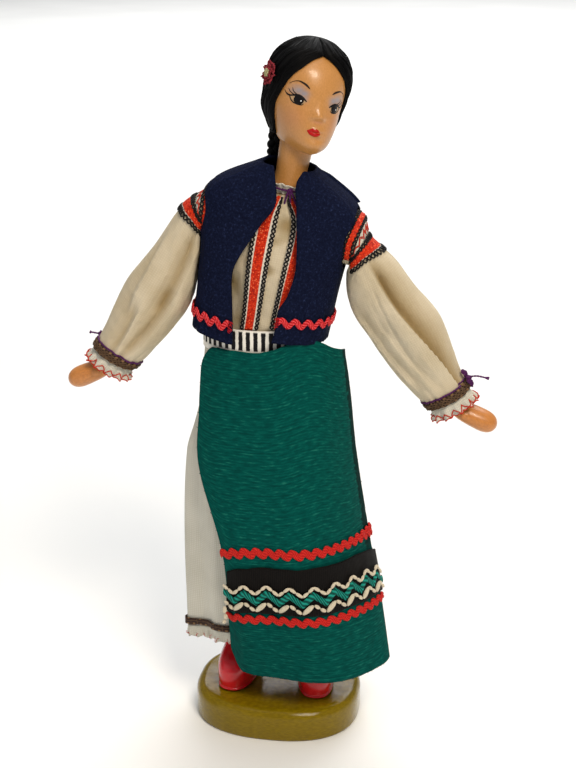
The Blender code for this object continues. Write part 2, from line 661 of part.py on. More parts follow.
def apron_strip(name, heights, reach, columns, offset, thick, colour, roughness):
    widths = spread(-reach, reach, columns)
    grids = [[[apron_point(u, max(z, apron_hem(u)), o) for u in widths] for z in heights]
             for o in (offset + thick, offset)]
    add(name, panel(*grids), colour, roughness)


def make_apron():
    apron_strip("apron", spread(APRON_HEM, APRON_TOP, 11), 1.0, 20, 0.0, WOVEN, "00544A", 0.9)
    reach = 1.0 + TRIM_OVERHANG
    on_apron = WOVEN + GAP
    on_band = on_apron + RIBBON + GAP

    def trim(name, low, high, offset, thick, colour):
        apron_strip(name, (low, high), reach, 20, offset, thick, colour, 0.7)

    half = RICKRACK / 2
    cord = CHAIN_WIDE / 2
    trim("apron_rickrack_upper", UPPER_RICKRACK_Z - half, UPPER_RICKRACK_Z + half, on_apron, RIBBON, "C4201C")
    trim("apron_black_band", BLACK_BAND_LOW, BLACK_BAND_TOP, on_apron, RIBBON, "120E0C")
    trim("apron_chain_upper", CHAIN_UPPER_Z - cord, CHAIN_UPPER_Z + cord, on_band, RIBBON, "D9CDB5")
    trim("apron_green_braid", BRAID_Z - cord, BRAID_Z + cord, on_band, RIBBON, "00695E")
    trim("apron_chain_lower", CHAIN_LOWER_Z - cord, CHAIN_LOWER_Z + cord, on_band, RIBBON, "D9CDB5")
    trim("apron_rickrack_lower", LOWER_RICKRACK_Z - half, LOWER_RICKRACK_Z + half, on_apron, RIBBON, "C4201C")


# Head, hair, flower and braid, on the neck's axis

# Share of the way from chin to skull top, then shares of half width, face and skull depth
HEAD_SHAPE = (
    (0.00, 0.30, 0.84, 0.36),
    (0.06, 0.52, 0.95, 0.50),
    (0.17, 0.70, 1.00, 0.70),
    (0.33, 0.86, 1.00, 0.90),
    (0.50, 0.96, 1.00, 0.98),
    (0.66, 1.00, 0.96, 1.00),
    (0.80, 0.95, 0.84, 0.92),
    (0.92, 0.72, 0.58, 0.66),
    (1.00, 0.36, 0.26, 0.34),
)
HEAD_POINTS = 26           # corners of each of its rings
CAVITY = (0.25, 0.88)      # shares of the head's height that are hollow
HAIR_FOOT = 0.12           # share of the head's height where the hair ends
FLOWER_SHARE = 0.67        # its height on the head
FLOWER_TURN = math.radians(188)
FLOWER_THICK = 0.0022
BRAID_TURNS = 7
# The braid's way down the doll's back, in the leaning frame over the neck's foot
BRAID_ROUTE = (
    (0.00, -0.0110, 0.0094, 0.0182),
    (0.12, -0.0113, 0.0125, 0.0130),
    (0.30, -0.0108, 0.0174, 0.0040),
    (0.50, -0.0095, 0.0206, -0.0065),
    (0.70, -0.0084, 0.0232, -0.0190),
    (0.85, -0.0078, 0.0246, -0.0300),
    (1.00, -0.0074, 0.0250, -0.0410),
)


def head_ring(share, offset):
    """A level ring of the head, moved outward; the crown also moves up."""
    wide, face, skull = along(HEAD_SHAPE, share)
    wide = HEAD_HALF_WIDTH * wide + offset
    lift = offset * max(0.0, (share - 0.66) / 0.34)
    z = CHIN_Z + HEAD_TALL * share + lift
    points = []
    for angle in spread(0.0, 2 * math.pi, HEAD_POINTS)[:-1]:
        c, s = math.cos(angle), math.sin(angle)
        deep = SKULL_DEPTH * skull if s > 0 else FACE_DEPTH * face
        points.append(Vector((wide * c, (deep + offset) * s, z)))
    return points


def make_head(neck):
    shares = [row[0] for row in HEAD_SHAPE]
    jaw = CHIN_Z - 0.12 * HEAD_TALL
    throat = [oval(NECK_RADIUS * r, NECK_RADIUS * r, z, count=HEAD_POINTS, phase=0.0)
              for r, z in ((1.04, 0.0), (0.97, jaw / 2), (1.02, jaw))]
    rings = throat + [head_ring(s, 0.0) for s in shares]
    head = add("head", loft(rings), "C8935A", 0.25, neck)
    low, high = CAVITY
    hollow = loft([head_ring(s, -HEAD_WALL) for s in spread(low, high, 5)])
    boolean(head, cutter("head_hollow", hollow, neck))
    top = CHIN_Z + HEAD_TALL * (low + high) / 2
    bore = cylinder(NECK_STEM + GAP, (0, 0, -RUN), (0, 0, top), 16)
    boolean(head, cutter("neck_socket", bore, neck))


def make_neck_plug(neck):
    roof = -NECK_LIFT - TORSO_WALL - GAP - NECK_FLANGE * math.sin(NECK_TILT)
    rows = [(NECK_FLANGE, roof - FLANGE_THICK), (NECK_FLANGE, roof), (NECK_STEM, roof),
            (NECK_STEM, CHIN_Z / 2)]
    add("neck_plug", loft([oval(r, r, z, count=20) for r, z in rows]), "B9B2A4", 0.4, neck)


def make_hair(neck):
    shares = [HAIR_FOOT] + [row[0] for row in HEAD_SHAPE if row[0] > HAIR_FOOT]
    inner = [head_ring(s, GAP) for s in shares]
    outer = [head_ring(s, GAP + HAIR_THICK) for s in shares]
    hair = add("hair_cap", loft(inner[::-1] + outer), "0A0A0C", 0.3, neck)
    middle, tall = CHIN_Z + 0.36 * HEAD_TALL, 0.57 * HEAD_TALL
    outline = [(p.x, p.y + middle) for p in oval(HAIR_OPENING, tall, 0.0, count=28)]
    face = [[Vector((x, y, z)) for x, z in outline] for y in (-4 * FACE_DEPTH, -0.1 * FACE_DEPTH)]
    boolean(hair, cutter("face_opening", loft(face), neck))


def make_flower(neck):
    wide, face, _ = along(HEAD_SHAPE, FLOWER_SHARE)
    out = GAP + HAIR_THICK
    side = Vector(((HEAD_HALF_WIDTH * wide + out) * math.cos(FLOWER_TURN),
                   (FACE_DEPTH * face + out) * math.sin(FLOWER_TURN), 0.0))
    seat = side + Vector((0.0, 0.0, CHIN_Z + HEAD_TALL * FLOWER_SHARE))
    axis = side.normalized()
    turn = axis.to_track_quat("Z", "Y")

    def petal_ring(radius, height):
        points = []
        for i in range(30):
            angle = 2 * math.pi * i / 30
            r = radius * (0.74 + 0.26 * abs(math.cos(2.5 * angle)))
            points.append(seat + turn @ Vector((r * math.cos(angle), r * math.sin(angle), height)))
        return points

    rows = [(0.45, GAP), (0.85, 0.3 * FLOWER_THICK), (1.0, 0.75 * FLOWER_THICK), (0.9, FLOWER_THICK),
            (0.35, 0.7 * FLOWER_THICK)]
    petals = [petal_ring(FLOWER_RADIUS * share, height) for share, height in rows]
    add("flower_petals", loft(petals), "8A2A33", 0.8, neck)
    foot = 0.7 * FLOWER_THICK + GAP
    rows = [(0.22, foot), (0.30, foot + 0.25 * FLOWER_THICK), (0.22, foot + 0.5 * FLOWER_THICK)]
    rings = [[seat + turn @ p for p in oval(FLOWER_RADIUS * r, FLOWER_RADIUS * r, z, count=12)]
             for r, z in rows]
    add("flower_centre", loft(rings), "B5AF80", 0.7, neck)


def make_braid(neck):
    steps = 3 * BRAID_TURNS
    back = Matrix.Rotation(-HEAD_TURN, 3, "Z") @ Matrix.Rotation(NECK_TILT, 3, "X")
    path = [back @ Vector(along(BRAID_ROUTE, i / steps)) for i in range(steps + 1)]
    rings = []
    for i, at in enumerate(path):
        ahead = path[min(i + 1, steps)] - path[max(i - 1, 0)]
        turn = ahead.to_track_quat("Z", "X")
        swell = 0.86 + 0.14 * abs(math.sin(math.pi * BRAID_TURNS * i / steps))
        if i == steps:
            swell = 0.4
        ring = oval(BRAID_RADIUS * swell, BRAID_RADIUS * swell, 0.0, count=10)
        rings.append([at + turn @ p for p in ring])
    add("braid", loft(rings), "0A0A0C", 0.35, neck)


# Arms and sleeves, in a frame on each shoulder's axis with x outward before mirroring

SLEEVE_START = VEST_HALF + 2 * GAP + COTTON + RIBBON - SHOULDER_WIDE   # round before, bent after
SLEEVE_ROOT = BUST_WIDE + 3 * GAP - SHOULDER_WIDE   # end of the sleeve in the armhole
ELBOW_X, ELBOW_Z = SLEEVE_START + ARM_ROOT / 2, -2.5 * GAP   # where the arm turns down
CUFF_AT = ARM_LENGTH - 5 * GAP
SLEEVE_HEAD_END = 0.40     # share of the sleeve that still turns from the body to the arm
SLEEVE_SHAPE = ((0.0, 0.86), (0.30, 0.95), (0.60, 1.0), (0.85, 0.90), (1.0, None))
# Trims of the sleeve head: first and last share of the sleeve's length
SLEEVE_TRIMS = (
    ("sleeve_ribbon_upper", -0.020, 0.040, "D8330F"),
    ("sleeve_zigzag", 0.047, 0.103, "E6DCC6"),
    ("sleeve_ribbon_lower", 0.110, 0.184, "D8330F"),
)


def limb_ring(sign, centre, angle, in_plane, in_depth, count=14, wave=None):
    """A ring square to a limb that leaves the body at an angle from straight down."""
    points = []
    for i in range(count):
        turn = 2 * math.pi * i / count
        more = wave(turn) if wave else 0.0
        reach = (in_plane + more) * math.cos(turn)
        points.append(Vector((sign * (centre[0] + reach * math.cos(angle)),
                              (in_depth + more) * math.sin(turn),
                              centre[1] + reach * math.sin(angle))))
    return points


def arm_place(angle, distance):
    """Place on the arm's straight axis, measured from its turn at the shoulder."""
    return (ELBOW_X + distance * math.sin(angle), ELBOW_Z - distance * math.cos(angle))


def make_arm(side, sign, shoulder):
    angle = ARM_SPREAD[side]
    rows = [(-0.8, 0.55), (-0.5, 0.85), (0.0, 1.0), (0.35 * ARM_LENGTH / ARM_ROOT, 0.92),
            (0.6 * ARM_LENGTH / ARM_ROOT, 0.80)]
    rings = []
    for place, size in rows:
        at = arm_place(angle, place * ARM_ROOT)
        rings.append(limb_ring(sign, at, angle, size * ARM_ROOT, size * ARM_ROOT))
    wrist = Vector(arm_place(angle, ARM_LENGTH))
    rings.append(limb_ring(sign, wrist, angle, WRIST, WRIST))
    hand = ((0.16, 0.5, 0.80, 0.85), (0.38, 1.0, 1.0, 1.0), (0.62, 1.0, 0.90, 1.0),
            (0.84, 1.0, 0.66, 0.80), (0.96, 1.0, 0.42, 0.50), (1.0, 1.0, 0.15, 0.2))
    bend = wrist
    before = 0.0
    for share, flare, thick, wide in hand:
        turned = angle + flare * HAND_FLARE
        step = (share - before) * HAND_LENGTH
        bend = bend + Vector((math.sin(turned), -math.cos(turned))) * step
        before = share
        rings.append(limb_ring(sign, bend, turned, HAND_HALF_THICK * thick, HAND_HALF_WIDTH * wide))
    arm = add("arm_" + side, loft(rings), "C8935A", 0.3, shoulder)
    disc = cylinder(ARM_ROOT, (sign * ARM_START, 0, 0), (sign * ELBOW_X, 0, 0), 20)
    boolean(arm, cutter("arm_disc_" + side, disc, shoulder), "UNION")
    bore = cylinder(SHOULDER_STEM + GAP, (0, 0, 0), (sign * (ARM_START + ARM_BORE), 0, 0), 16)
    boolean(arm, cutter("arm_bore_" + side, bore, shoulder))


def make_shoulder_plug(side, sign, shoulder):
    ends = (SHOULDER_Z - SHOULDER_FLANGE, SHOULDER_Z + SHOULDER_FLANGE)
    narrow, shallow = (min(along(TORSO, z)[k] for z in ends) for k in (0, 1))
    bow = math.sqrt(1 - (SHOULDER_FLANGE / shallow) ** 2)
    face = narrow * bow - 1.5 * TORSO_WALL - GAP - SHOULDER_WIDE
    rows = [(SHOULDER_FLANGE, face - FLANGE_THICK), (SHOULDER_FLANGE, face), (SHOULDER_STEM, face),
            (SHOULDER_STEM, ARM_START + ARM_BORE - GAP)]
    rings = [[Vector((sign * x, p.x, p.y)) for p in oval(r, r, 0.0, count=20)] for r, x in rows]
    add("shoulder_plug_" + side, loft(rings), "B9B2A4", 0.4, shoulder)


def sleeve_base(side, share, turn):
    """A point of the sleeve's inner surface, from the body (share 0) to the cuff (share 1)."""
    angle = ARM_SPREAD[side]
    shape = [(s, SLEEVE_FULL * r if r else SLEEVE_CUFF) for s, r in SLEEVE_SHAPE]
    bulge = math.sin(math.pi * min(max(share, 0.0), 1.0))
    radius = along(shape, share)[0] + SLEEVE_FOLD_DEPTH * bulge * math.cos(SLEEVE_FOLDS * turn)
    x, z = arm_place(angle, share * CUFF_AT)
    reach = radius * math.cos(turn) - SLEEVE_SAG * bulge
    square = Vector((x + reach * math.cos(angle), radius * math.sin(turn), z + reach * math.sin(angle)))
    head = Vector((SLEEVE_START, SLEEVE_NECK * math.sin(turn), SLEEVE_NECK * math.cos(turn)))
    if share < 0:
        return head + Vector((share * CUFF_AT, 0.0, 0.0))
    turned = 1 - (1 - min(1.0, share / SLEEVE_HEAD_END)) ** 2
    point = head.lerp(square, turned)
    point.x = max(point.x, SLEEVE_START)
    return point


def sleeve_ring(side, sign, share, offset, turns=None):
    """A ring of the sleeve, or its part over some turns, moved outward from its inner surface."""
    step = 0.01
    points = []
    for turn in turns or [2 * math.pi * i / SLEEVE_POINTS for i in range(SLEEVE_POINTS)]:
        around = sleeve_base(side, share, turn + step) - sleeve_base(side, share, turn - step)
        down = sleeve_base(side, share + step, turn) - sleeve_base(side, share - step, turn)
        outward = down.cross(around).normalized()
        point = sleeve_base(side, share, turn) + outward * offset
        points.append(Vector((sign * point.x, point.y, point.z)))
    return points


def sleeve_trim(name, shares, side, sign, offset, thick, colour, shoulder):
    """A ribbon across the sleeve's outer side, clear of the armpit."""
    reach = int(0.23 * SLEEVE_POINTS)
    turns = [2 * math.pi * i / SLEEVE_POINTS for i in range(-reach, reach + 1)]
    grids = [[sleeve_ring(side, sign, s, o, turns) for s in shares] for o in (offset + thick, offset)]
    add(name + "_" + side, panel(*grids), colour, 0.7, shoulder)


def sleeve_band(name, shares, side, sign, offset, thick, colour, shoulder):
    outer = [sleeve_ring(side, sign, s, offset + thick) for s in shares]
    inner = [sleeve_ring(side, sign, s, offset) for s in shares]
    add(name + "_" + side, tube(outer, inner), colour, 0.85, shoulder)


def make_sleeve(side, sign, shoulder):
    over = COTTON + GAP
    cuff = 1.0 - CUFF_BAND / CUFF_AT
    root = (SLEEVE_ROOT - SLEEVE_START) / CUFF_AT
    trims = [s for row in SLEEVE_TRIMS for s in row[1:3]]
    shares = sorted([root, 0.0] + trims + spread(SLEEVE_HEAD_END, cuff, 4) + [1.0])
    sleeve_band("sleeve", shares, side, sign, 0.0, COTTON, "D8CDB4", shoulder)
    for name, first, last, colour in SLEEVE_TRIMS:
        rows = sorted({first, max(first, 0.0), last})
        sleeve_trim(name, rows, side, sign, over, RIBBON, colour, shoulder)
    sleeve_band("cuff_band", (cuff, 1.0), side, sign, over, RIBBON, "3A2A22", shoulder)
    thread = 2 * TIE_RADIUS / CUFF_AT
    end = cuff - GAP / CUFF_AT
    sleeve_band("cuff_tie", (end - thread, end), side, sign, over, 2 * TIE_RADIUS, "4A1A50", shoulder)
    angle = ARM_SPREAD[side]
    rings = {0.0: [], COTTON: []}
    for offset, rows in rings.items():
        for step in spread(0.0, 1.0, 2):
            at = arm_place(angle, CUFF_AT + GAP + step * CUFF_FRILL)
            radius = SLEEVE_CUFF + offset + step * FRILL_FLARE

            def wave(turn, depth=step * SLEEVE_FOLD_DEPTH):
                return depth * math.cos(2 * SLEEVE_FOLDS * turn)

            rows.append(limb_ring(sign, at, angle, radius, radius, 24, wave))
    add("cuff_frill_" + side, tube(rings[COTTON], rings[0.0]), "E8E4DA", 0.85, shoulder)


# The doll

clear_scene()
make_stand()
make_skirt()
make_apron()
upper_body = empty("upper_body_frame", WAIST, (0.0, LEAN, 0.0))
neck_tilt = empty("neck_tilt", (0.0, 0.0, NECK_Z + NECK_LIFT), (-NECK_TILT, 0.0, 0.0), upper_body)
neck_axis = empty("neck_axis", (0.0, 0.0, 0.0), (0.0, 0.0, HEAD_TURN), neck_tilt)
make_torso(upper_body, neck_axis)
make_blouse(upper_body)
make_collar_and_tie(upper_body)
make_vest(upper_body)
make_vest_rickrack(upper_body)
make_neck_plug(neck_axis)
make_head(neck_axis)
make_hair(neck_axis)
make_flower(neck_axis)
make_braid(neck_axis)
for side_name, side_sign in SIDES.items():
    make_foot_peg(side_name, side_sign)
    make_boot(side_name, side_sign)
    make_leg(side_name, side_sign)
    make_placket_ribbon(side_name, side_sign, upper_body)
    place = (side_sign * SHOULDER_WIDE, 0.0, SHOULDER_Z)
    swing = (-ARM_SWING[side_name], 0.0, 0.0)
    shoulder_axis = empty("shoulder_axis_" + side_name, place, swing, upper_body)
    make_shoulder_plug(side_name, side_sign, shoulder_axis)
    make_arm(side_name, side_sign, shoulder_axis)
    make_sleeve(side_name, side_sign, shoulder_axis)
bpy.context.view_layer.update()
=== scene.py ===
"""Looks of a folk costume doll: hard plastic figure, sewn costume, glossy oval stand.

Metres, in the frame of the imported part: +Z up, the doll faces -Y and its left arm is on +X.
Cloth carries UV coordinates in millimetres, so each pattern's scale is a real size.
"""
import random
from math import acos, copysign, cos, degrees, exp, hypot, pi, radians, sin, sqrt, tan, tau

import bpy
import bmesh
import numpy as np
from mathutils import Matrix, Vector, noise


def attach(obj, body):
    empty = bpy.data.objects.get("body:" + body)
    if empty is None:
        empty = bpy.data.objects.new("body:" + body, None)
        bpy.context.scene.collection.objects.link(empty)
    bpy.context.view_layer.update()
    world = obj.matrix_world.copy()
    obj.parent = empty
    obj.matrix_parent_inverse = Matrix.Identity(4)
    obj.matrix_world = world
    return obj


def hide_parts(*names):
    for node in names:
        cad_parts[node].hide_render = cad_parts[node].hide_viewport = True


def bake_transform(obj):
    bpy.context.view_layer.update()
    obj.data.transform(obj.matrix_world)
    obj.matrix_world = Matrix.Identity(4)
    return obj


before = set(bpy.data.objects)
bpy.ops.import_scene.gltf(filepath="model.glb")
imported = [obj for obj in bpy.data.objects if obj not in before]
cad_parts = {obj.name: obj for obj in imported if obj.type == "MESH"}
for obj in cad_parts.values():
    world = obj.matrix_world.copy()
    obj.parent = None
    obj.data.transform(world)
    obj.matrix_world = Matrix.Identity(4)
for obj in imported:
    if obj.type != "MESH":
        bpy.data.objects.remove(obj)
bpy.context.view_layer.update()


# Studio. A plain pale floor and soft white light from large panels, as on a product table.
# The camera stands above the doll's waist, turned ten degrees to the doll's left side.

def linear(hex_colour):
    """Linear RGBA of a six-digit sRGB colour."""
    parts = [int(hex_colour[i:i + 2], 16) / 255 for i in (0, 2, 4)]
    return [c / 12.92 if c <= 0.04045 else ((c + 0.055) / 1.055) ** 2.4 for c in parts] + [1.0]


def add_node(mat, kind, inputs=None, stops=None, **settings):
    """Add a node with its settings and colour stops. An input is a value, a socket or a node,
    which is linked by its first output."""
    made = mat.node_tree.nodes.new(kind)
    for name, value in settings.items():
        setattr(made, name, value)
    for name, value in (inputs or {}).items():
        if isinstance(value, bpy.types.Node):
            value = value.outputs[0]
        if isinstance(value, bpy.types.NodeSocket):
            mat.node_tree.links.new(value, made.inputs[name])
        else:
            made.inputs[name].default_value = value
    if stops:
        elements = made.color_ramp.elements
        while len(elements) < len(stops):
            elements.new(1.0)
        for element, (place, colour) in zip(elements, stops):
            element.position = place
            element.color = linear(colour)
    return made


def new_material(name):
    mat = bpy.data.materials.new(name)
    mat.use_nodes = True
    mat.node_tree.nodes.clear()
    return mat


def grainy(name, grain, stops, shading, bump=None):
    """A material with one fine grain, given by its noise inputs. A noise without coordinates spans
    the piece's box, so its scale counts grains across the piece. bump: strength and depth."""
    mat = new_material(name)
    noise_node = add_node(mat, "ShaderNodeTexNoise", grain)
    tone = add_node(mat, "ShaderNodeValToRGB", {"Fac": noise_node}, stops=stops)
    inputs = {"Base Color": tone, **shading}
    if bump:
        inputs["Normal"] = add_node(mat, "ShaderNodeBump", {
            "Strength": bump[0], "Distance": bump[1], "Height": noise_node})
    shader = add_node(mat, "ShaderNodeBsdfPrincipled", inputs)
    add_node(mat, "ShaderNodeOutputMaterial", {"Surface": shader})
    return mat


def link(name, mesh, *mats):
    mesh.name = name
    obj = bpy.data.objects.new(name, mesh)
    for mat in mats:
        mesh.materials.append(mat)
    bpy.context.scene.collection.objects.link(obj)
    return obj


# Paper is matt and almost even.
paper = grainy("white seamless paper", {"Scale": 60.0, "Detail": 4.0},
               [(0.3, "F4F4F2"), (0.7, "FAFAF8")], {"Roughness": 0.9})
FLOOR_HALF = 6.0
floor_mesh = bpy.data.meshes.new("studio_floor")
floor_mesh.from_pydata([(x * FLOOR_HALF, y * FLOOR_HALF, 0.0)
    for x, y in ((-1, -1), (1, -1), (1, 1), (-1, 1))], [], [(0, 1, 2, 3)])
link("studio_floor", floor_mesh, paper)

studio = bpy.data.worlds.new("studio")
studio.use_nodes = True
studio.node_tree.nodes["Background"].inputs["Color"].default_value = linear("F7F8FA")
studio.node_tree.nodes["Background"].inputs["Strength"].default_value = 0.27
bpy.context.scene.world = studio
bpy.context.scene.view_settings.view_transform = "Standard"

# Panels: place, target, size in metres, power in watts, colour
PANELS = {
    "key_panel": ((0.42, -0.64, 1.00), (0.0, 0.0, 0.16), 0.36, 8.0, "FFF2E0"),
    "spark_panel": ((0.50, -0.62, 0.95), (0.0, 0.0, 0.10), 0.05, 0.55, "FFF6EA"),
    "fill_panel": ((-0.80, -0.75, 0.40), (0.0, 0.0, 0.14), 0.80, 0.9, "F4F8FF"),
    "top_panel": ((0.0, 0.10, 1.10), (0.0, 0.0, 0.10), 0.80, 2.4, "FFFFFF"),
    "backdrop_panel": ((0.0, 2.4, 2.2), (0.0, 2.2, 0.0), 2.6, 85.0, "FFFFFF"),
}
for panel_name, (place, target, size, power, colour) in PANELS.items():
    lamp_data = bpy.data.lights.new(panel_name, "AREA")
    lamp_data.size, lamp_data.energy = size, power
    lamp_data.color = linear(colour)[:3]
    lamp = bpy.data.objects.new(panel_name, lamp_data)
    lamp.location = place
    lamp.rotation_euler = (Vector(target) - Vector(place)).to_track_quat("-Z", "Y").to_euler()
    bpy.context.scene.collection.objects.link(lamp)

camera_data = bpy.data.cameras.new("camera")
camera_data.lens = 67.2
camera_data.sensor_width = 36.0
camera = bpy.data.objects.new("camera", camera_data)
camera.location = (0.1007, -0.5479, 0.348)
camera.rotation_euler = (radians(90 - 19.44), 0.0, radians(10))
bpy.context.scene.collection.objects.link(camera)
bpy.context.scene.camera = camera


# Stand. A thick oval of cast plastic with soft edges, dipped in glossy olive-brown lacquer.
# The lacquer flows over small lumps of the casting, which catch the light.

def grid_mesh(rows, closed=False, cap=False):
    """A smooth mesh over rows of points, with UV in millimetres along and across the rows.
    Closed rows go round; cap closes the first and last row with a fan."""
    count = len(rows[0])
    points = [p for row in rows for p in row]
    spans = count if closed else count - 1
    faces = []
    for i in range(len(rows) - 1):
        for j in range(spans):
            k = (j + 1) % count
            faces.append((i * count + j, i * count + k, (i + 1) * count + k, (i + 1) * count + j))
    if cap:
        for first, flip in ((0, True), ((len(rows) - 1) * count, False)):
            ring = list(range(first, first + count))
            points.append(sum((points[i] for i in ring), Vector()) / count)
            for a, b in zip(ring, ring[1:] + ring[:1]):
                faces.append((b, a, len(points) - 1) if flip else (a, b, len(points) - 1))
    mesh = bpy.data.meshes.new("grid")
    mesh.from_pydata(points, [], faces)
    table = np.array([[tuple(p) for p in row] for row in rows])
    if closed:
        table = np.concatenate([table, table[:, :1]], axis=1)
    widths = np.linalg.norm(np.diff(table, axis=1), axis=2).mean(axis=0)
    across = np.concatenate([[0], np.cumsum(widths)]) * 1000
    rises = np.linalg.norm(np.diff(table, axis=0), axis=2).mean(axis=1)
    up = np.concatenate([[0], np.cumsum(rises)]) * 1000
    layer = mesh.uv_layers.new(name="millimetres")
    uv = np.zeros((len(layer.data), 2))
    corner = 0
    for i in range(len(rows) - 1):
        for j in range(spans):
            uv[corner:corner + 4] = ((across[j], up[i]), (across[j + 1], up[i]),
                (across[j + 1], up[i + 1]), (across[j], up[i + 1]))
            corner += 4
    layer.data.foreach_set("uv", uv.ravel())
    mesh.polygons.foreach_set("use_smooth", [True] * len(mesh.polygons))
    return mesh


def oval(wide, deep, z, count, power=2.0, centre=(0.0, 0.0)):
    points = []
    for i in range(count):
        angle = tau * i / count
        c, s = cos(angle), sin(angle)
        points.append(Vector((centre[0] + wide * copysign(abs(c) ** (2 / power), c),
            centre[1] + deep * copysign(abs(s) ** (2 / power), s), z)))
    return points


def piece(name, mesh, mat, body, node=None, thick=None):
    """Link a piece of one material that rides on a body, in place of a CAD node if it has one.
    thick: thickness of a cloth and its side, -1 behind the faces, 1 before them, 0 both."""
    obj = link(name, mesh, mat)
    if thick:
        solid = obj.modifiers.new("thickness", "SOLIDIFY")
        solid.thickness, solid.offset = thick
    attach(obj, body)
    if node:
        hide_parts(node)
    return obj


STAND_HALF = Vector((0.036, 0.030))
STAND_HEIGHT = 0.014
STAND_EDGE = 0.0040
STAND_SQUARENESS = 2.4
stand_rows = [(0.0011, 0.0), (0.0003, 0.0003), (0.0, 0.0011)]
for turn in (radians(9 * i) for i in range(11)):
    stand_rows.append((STAND_EDGE * (1 - cos(turn)), STAND_HEIGHT - STAND_EDGE * (1 - sin(turn))))
stand_rows += [(inset, STAND_HEIGHT) for inset in (0.007, 0.011, 0.016, 0.021, 0.026)]
stand_rings = []
for inset, z in stand_rows:
    ring = oval(STAND_HALF.x - inset, STAND_HALF.y - inset, z, 144, STAND_SQUARENESS)
    for p in ring:
        lump = noise.noise(p * 140) + 0.3 * noise.noise(p * 300)
        if z > 0.002:
            p.z += 0.00022 * min(lump, 0.0) + 0.00008 * lump
            p.x *= 1 + 0.003 * min(lump, 0.0)
    stand_rings.append(ring)
# Lacquer lies thick and wet-looking over the casting: deep olive, with small sharp glints.
FLOWS = 38.0  # flow marks across the stand, one each 1.9 mm
LUMPS = 1000 / 7  # lumps across the stand, one each 0.5 mm
lacquer = new_material("olive lacquer on cast plastic")
lacquer_flow = add_node(lacquer, "ShaderNodeTexNoise",
    {"Scale": FLOWS, "Detail": 1.0, "Roughness": 0.4})
lacquer_tone = add_node(lacquer, "ShaderNodeValToRGB", {"Fac": lacquer_flow},
    stops=[(0.30, "746006"), (0.5, "7E6807"), (0.70, "867008")])
lacquer_lumps = add_node(lacquer, "ShaderNodeTexNoise", {"Scale": LUMPS, "Detail": 2.0})
lacquer_bump = add_node(lacquer, "ShaderNodeBump",
    {"Strength": 0.10, "Distance": 0.0006, "Height": lacquer_lumps})
lacquer_wear = add_node(lacquer, "ShaderNodeValToRGB", {"Fac": lacquer_flow},
    stops=[(0.3, "2A2A2A"), (0.8, "606060")])
shader = add_node(lacquer, "ShaderNodeBsdfPrincipled",
    {"Base Color": lacquer_tone, "Roughness": lacquer_wear, "Normal": lacquer_bump,
    "Specular IOR Level": 0.10, "Coat Weight": 0.30, "Coat Roughness": 0.02,
    "Coat Normal": lacquer_bump})
add_node(lacquer, "ShaderNodeOutputMaterial", {"Surface": shader})
piece("cast_stand", grid_mesh(stand_rings, closed=True, cap=True), lacquer, "figure",
    "stand")


# Boots. Short moulded boots of red gloss plastic, one under each leg, standing on the stand.
# Only the round toes and the fronts of the shafts show under the skirt.

BOOT_X, BOOT_Y, BOOT_FLOOR = 0.016, 0.003, 0.0144
BOOT_SPLAY = radians(9)
# Boot rings: height, toe, heel, half width
BOOT_RINGS = ((0.0, 0.0198, 0.0098, 0.0070), (0.0006, 0.0206, 0.0104, 0.0078),
              (0.0014, 0.0207, 0.0105, 0.0079), (0.0016, 0.0202, 0.0101, 0.0075),
              (0.0022, 0.0203, 0.0101, 0.0076), (0.0055, 0.0208, 0.0103, 0.0082),
              (0.0090, 0.0206, 0.0101, 0.0085), (0.0118, 0.0192, 0.0096, 0.0083),
              (0.0140, 0.0166, 0.0088, 0.0076), (0.0166, 0.0120, 0.0080, 0.0070),
              (0.0210, 0.0084, 0.0072, 0.0067), (0.0290, 0.0070, 0.0069, 0.0068),
              (0.0385, 0.0071, 0.0071, 0.0071), (0.0398, 0.0070, 0.0070, 0.0070),
              (0.0399, 0.0066, 0.0066, 0.0066), (0.0380, 0.0064, 0.0064, 0.0064))
# Moulded gloss plastic: clear red, with long soft highlights.
boot_plastic = new_material("red gloss boot plastic")
boot_flow = add_node(boot_plastic, "ShaderNodeTexNoise", {"Scale": 120.0, "Detail": 3.0})
boot_tone = add_node(boot_plastic, "ShaderNodeValToRGB", {"Fac": boot_flow},
    stops=[(0.3, "B80E1A"), (0.7, "D21C26")])
boot_dents = add_node(boot_plastic, "ShaderNodeBump",
    {"Strength": 0.12, "Distance": 0.0005, "Height": boot_flow})
boot_sheen = add_node(boot_plastic, "ShaderNodeValToRGB", {"Fac": boot_flow},
    stops=[(0.3, "202020"), (0.8, "484848")])
shader = add_node(boot_plastic, "ShaderNodeBsdfPrincipled",
    {"Base Color": boot_tone, "Roughness": boot_sheen, "Normal": boot_dents,
    "Specular IOR Level": 0.3, "Coat Weight": 0.4, "Coat Roughness": 0.04})
add_node(boot_plastic, "ShaderNodeOutputMaterial", {"Surface": shader})
for side, sign in (("left", 1), ("right", -1)):
    place = Matrix.Translation((sign * BOOT_X, BOOT_Y, BOOT_FLOOR)) @ \
        Matrix.Rotation(sign * BOOT_SPLAY, 4, "Z")
    rings = []
    for height, toe, heel, half in BOOT_RINGS:
        ring = []
        for i in range(24):
            angle = tau * i / 24
            along_foot = sin(angle)
            reach = heel if along_foot > 0 else toe
            blunt = 0.76 if along_foot < 0 else 1.0
            pinch = 1.0 + 0.10 * max(0.0, -along_foot) * (1 - min(1.0, height / 0.012))
            ring.append(place @ Vector((half * pinch * copysign(abs(cos(angle)) ** blunt,
                cos(angle)), reach * copysign(abs(along_foot) ** blunt, along_foot), height)))
        rings.append(ring)
    boot = piece("boot_shell_" + side, grid_mesh(rings, closed=True, cap=True), boot_plastic,
                 "figure", "boot_" + side)
    smooth = boot.modifiers.new("smooth", "SUBSURF")
    smooth.levels = smooth.render_levels = 2


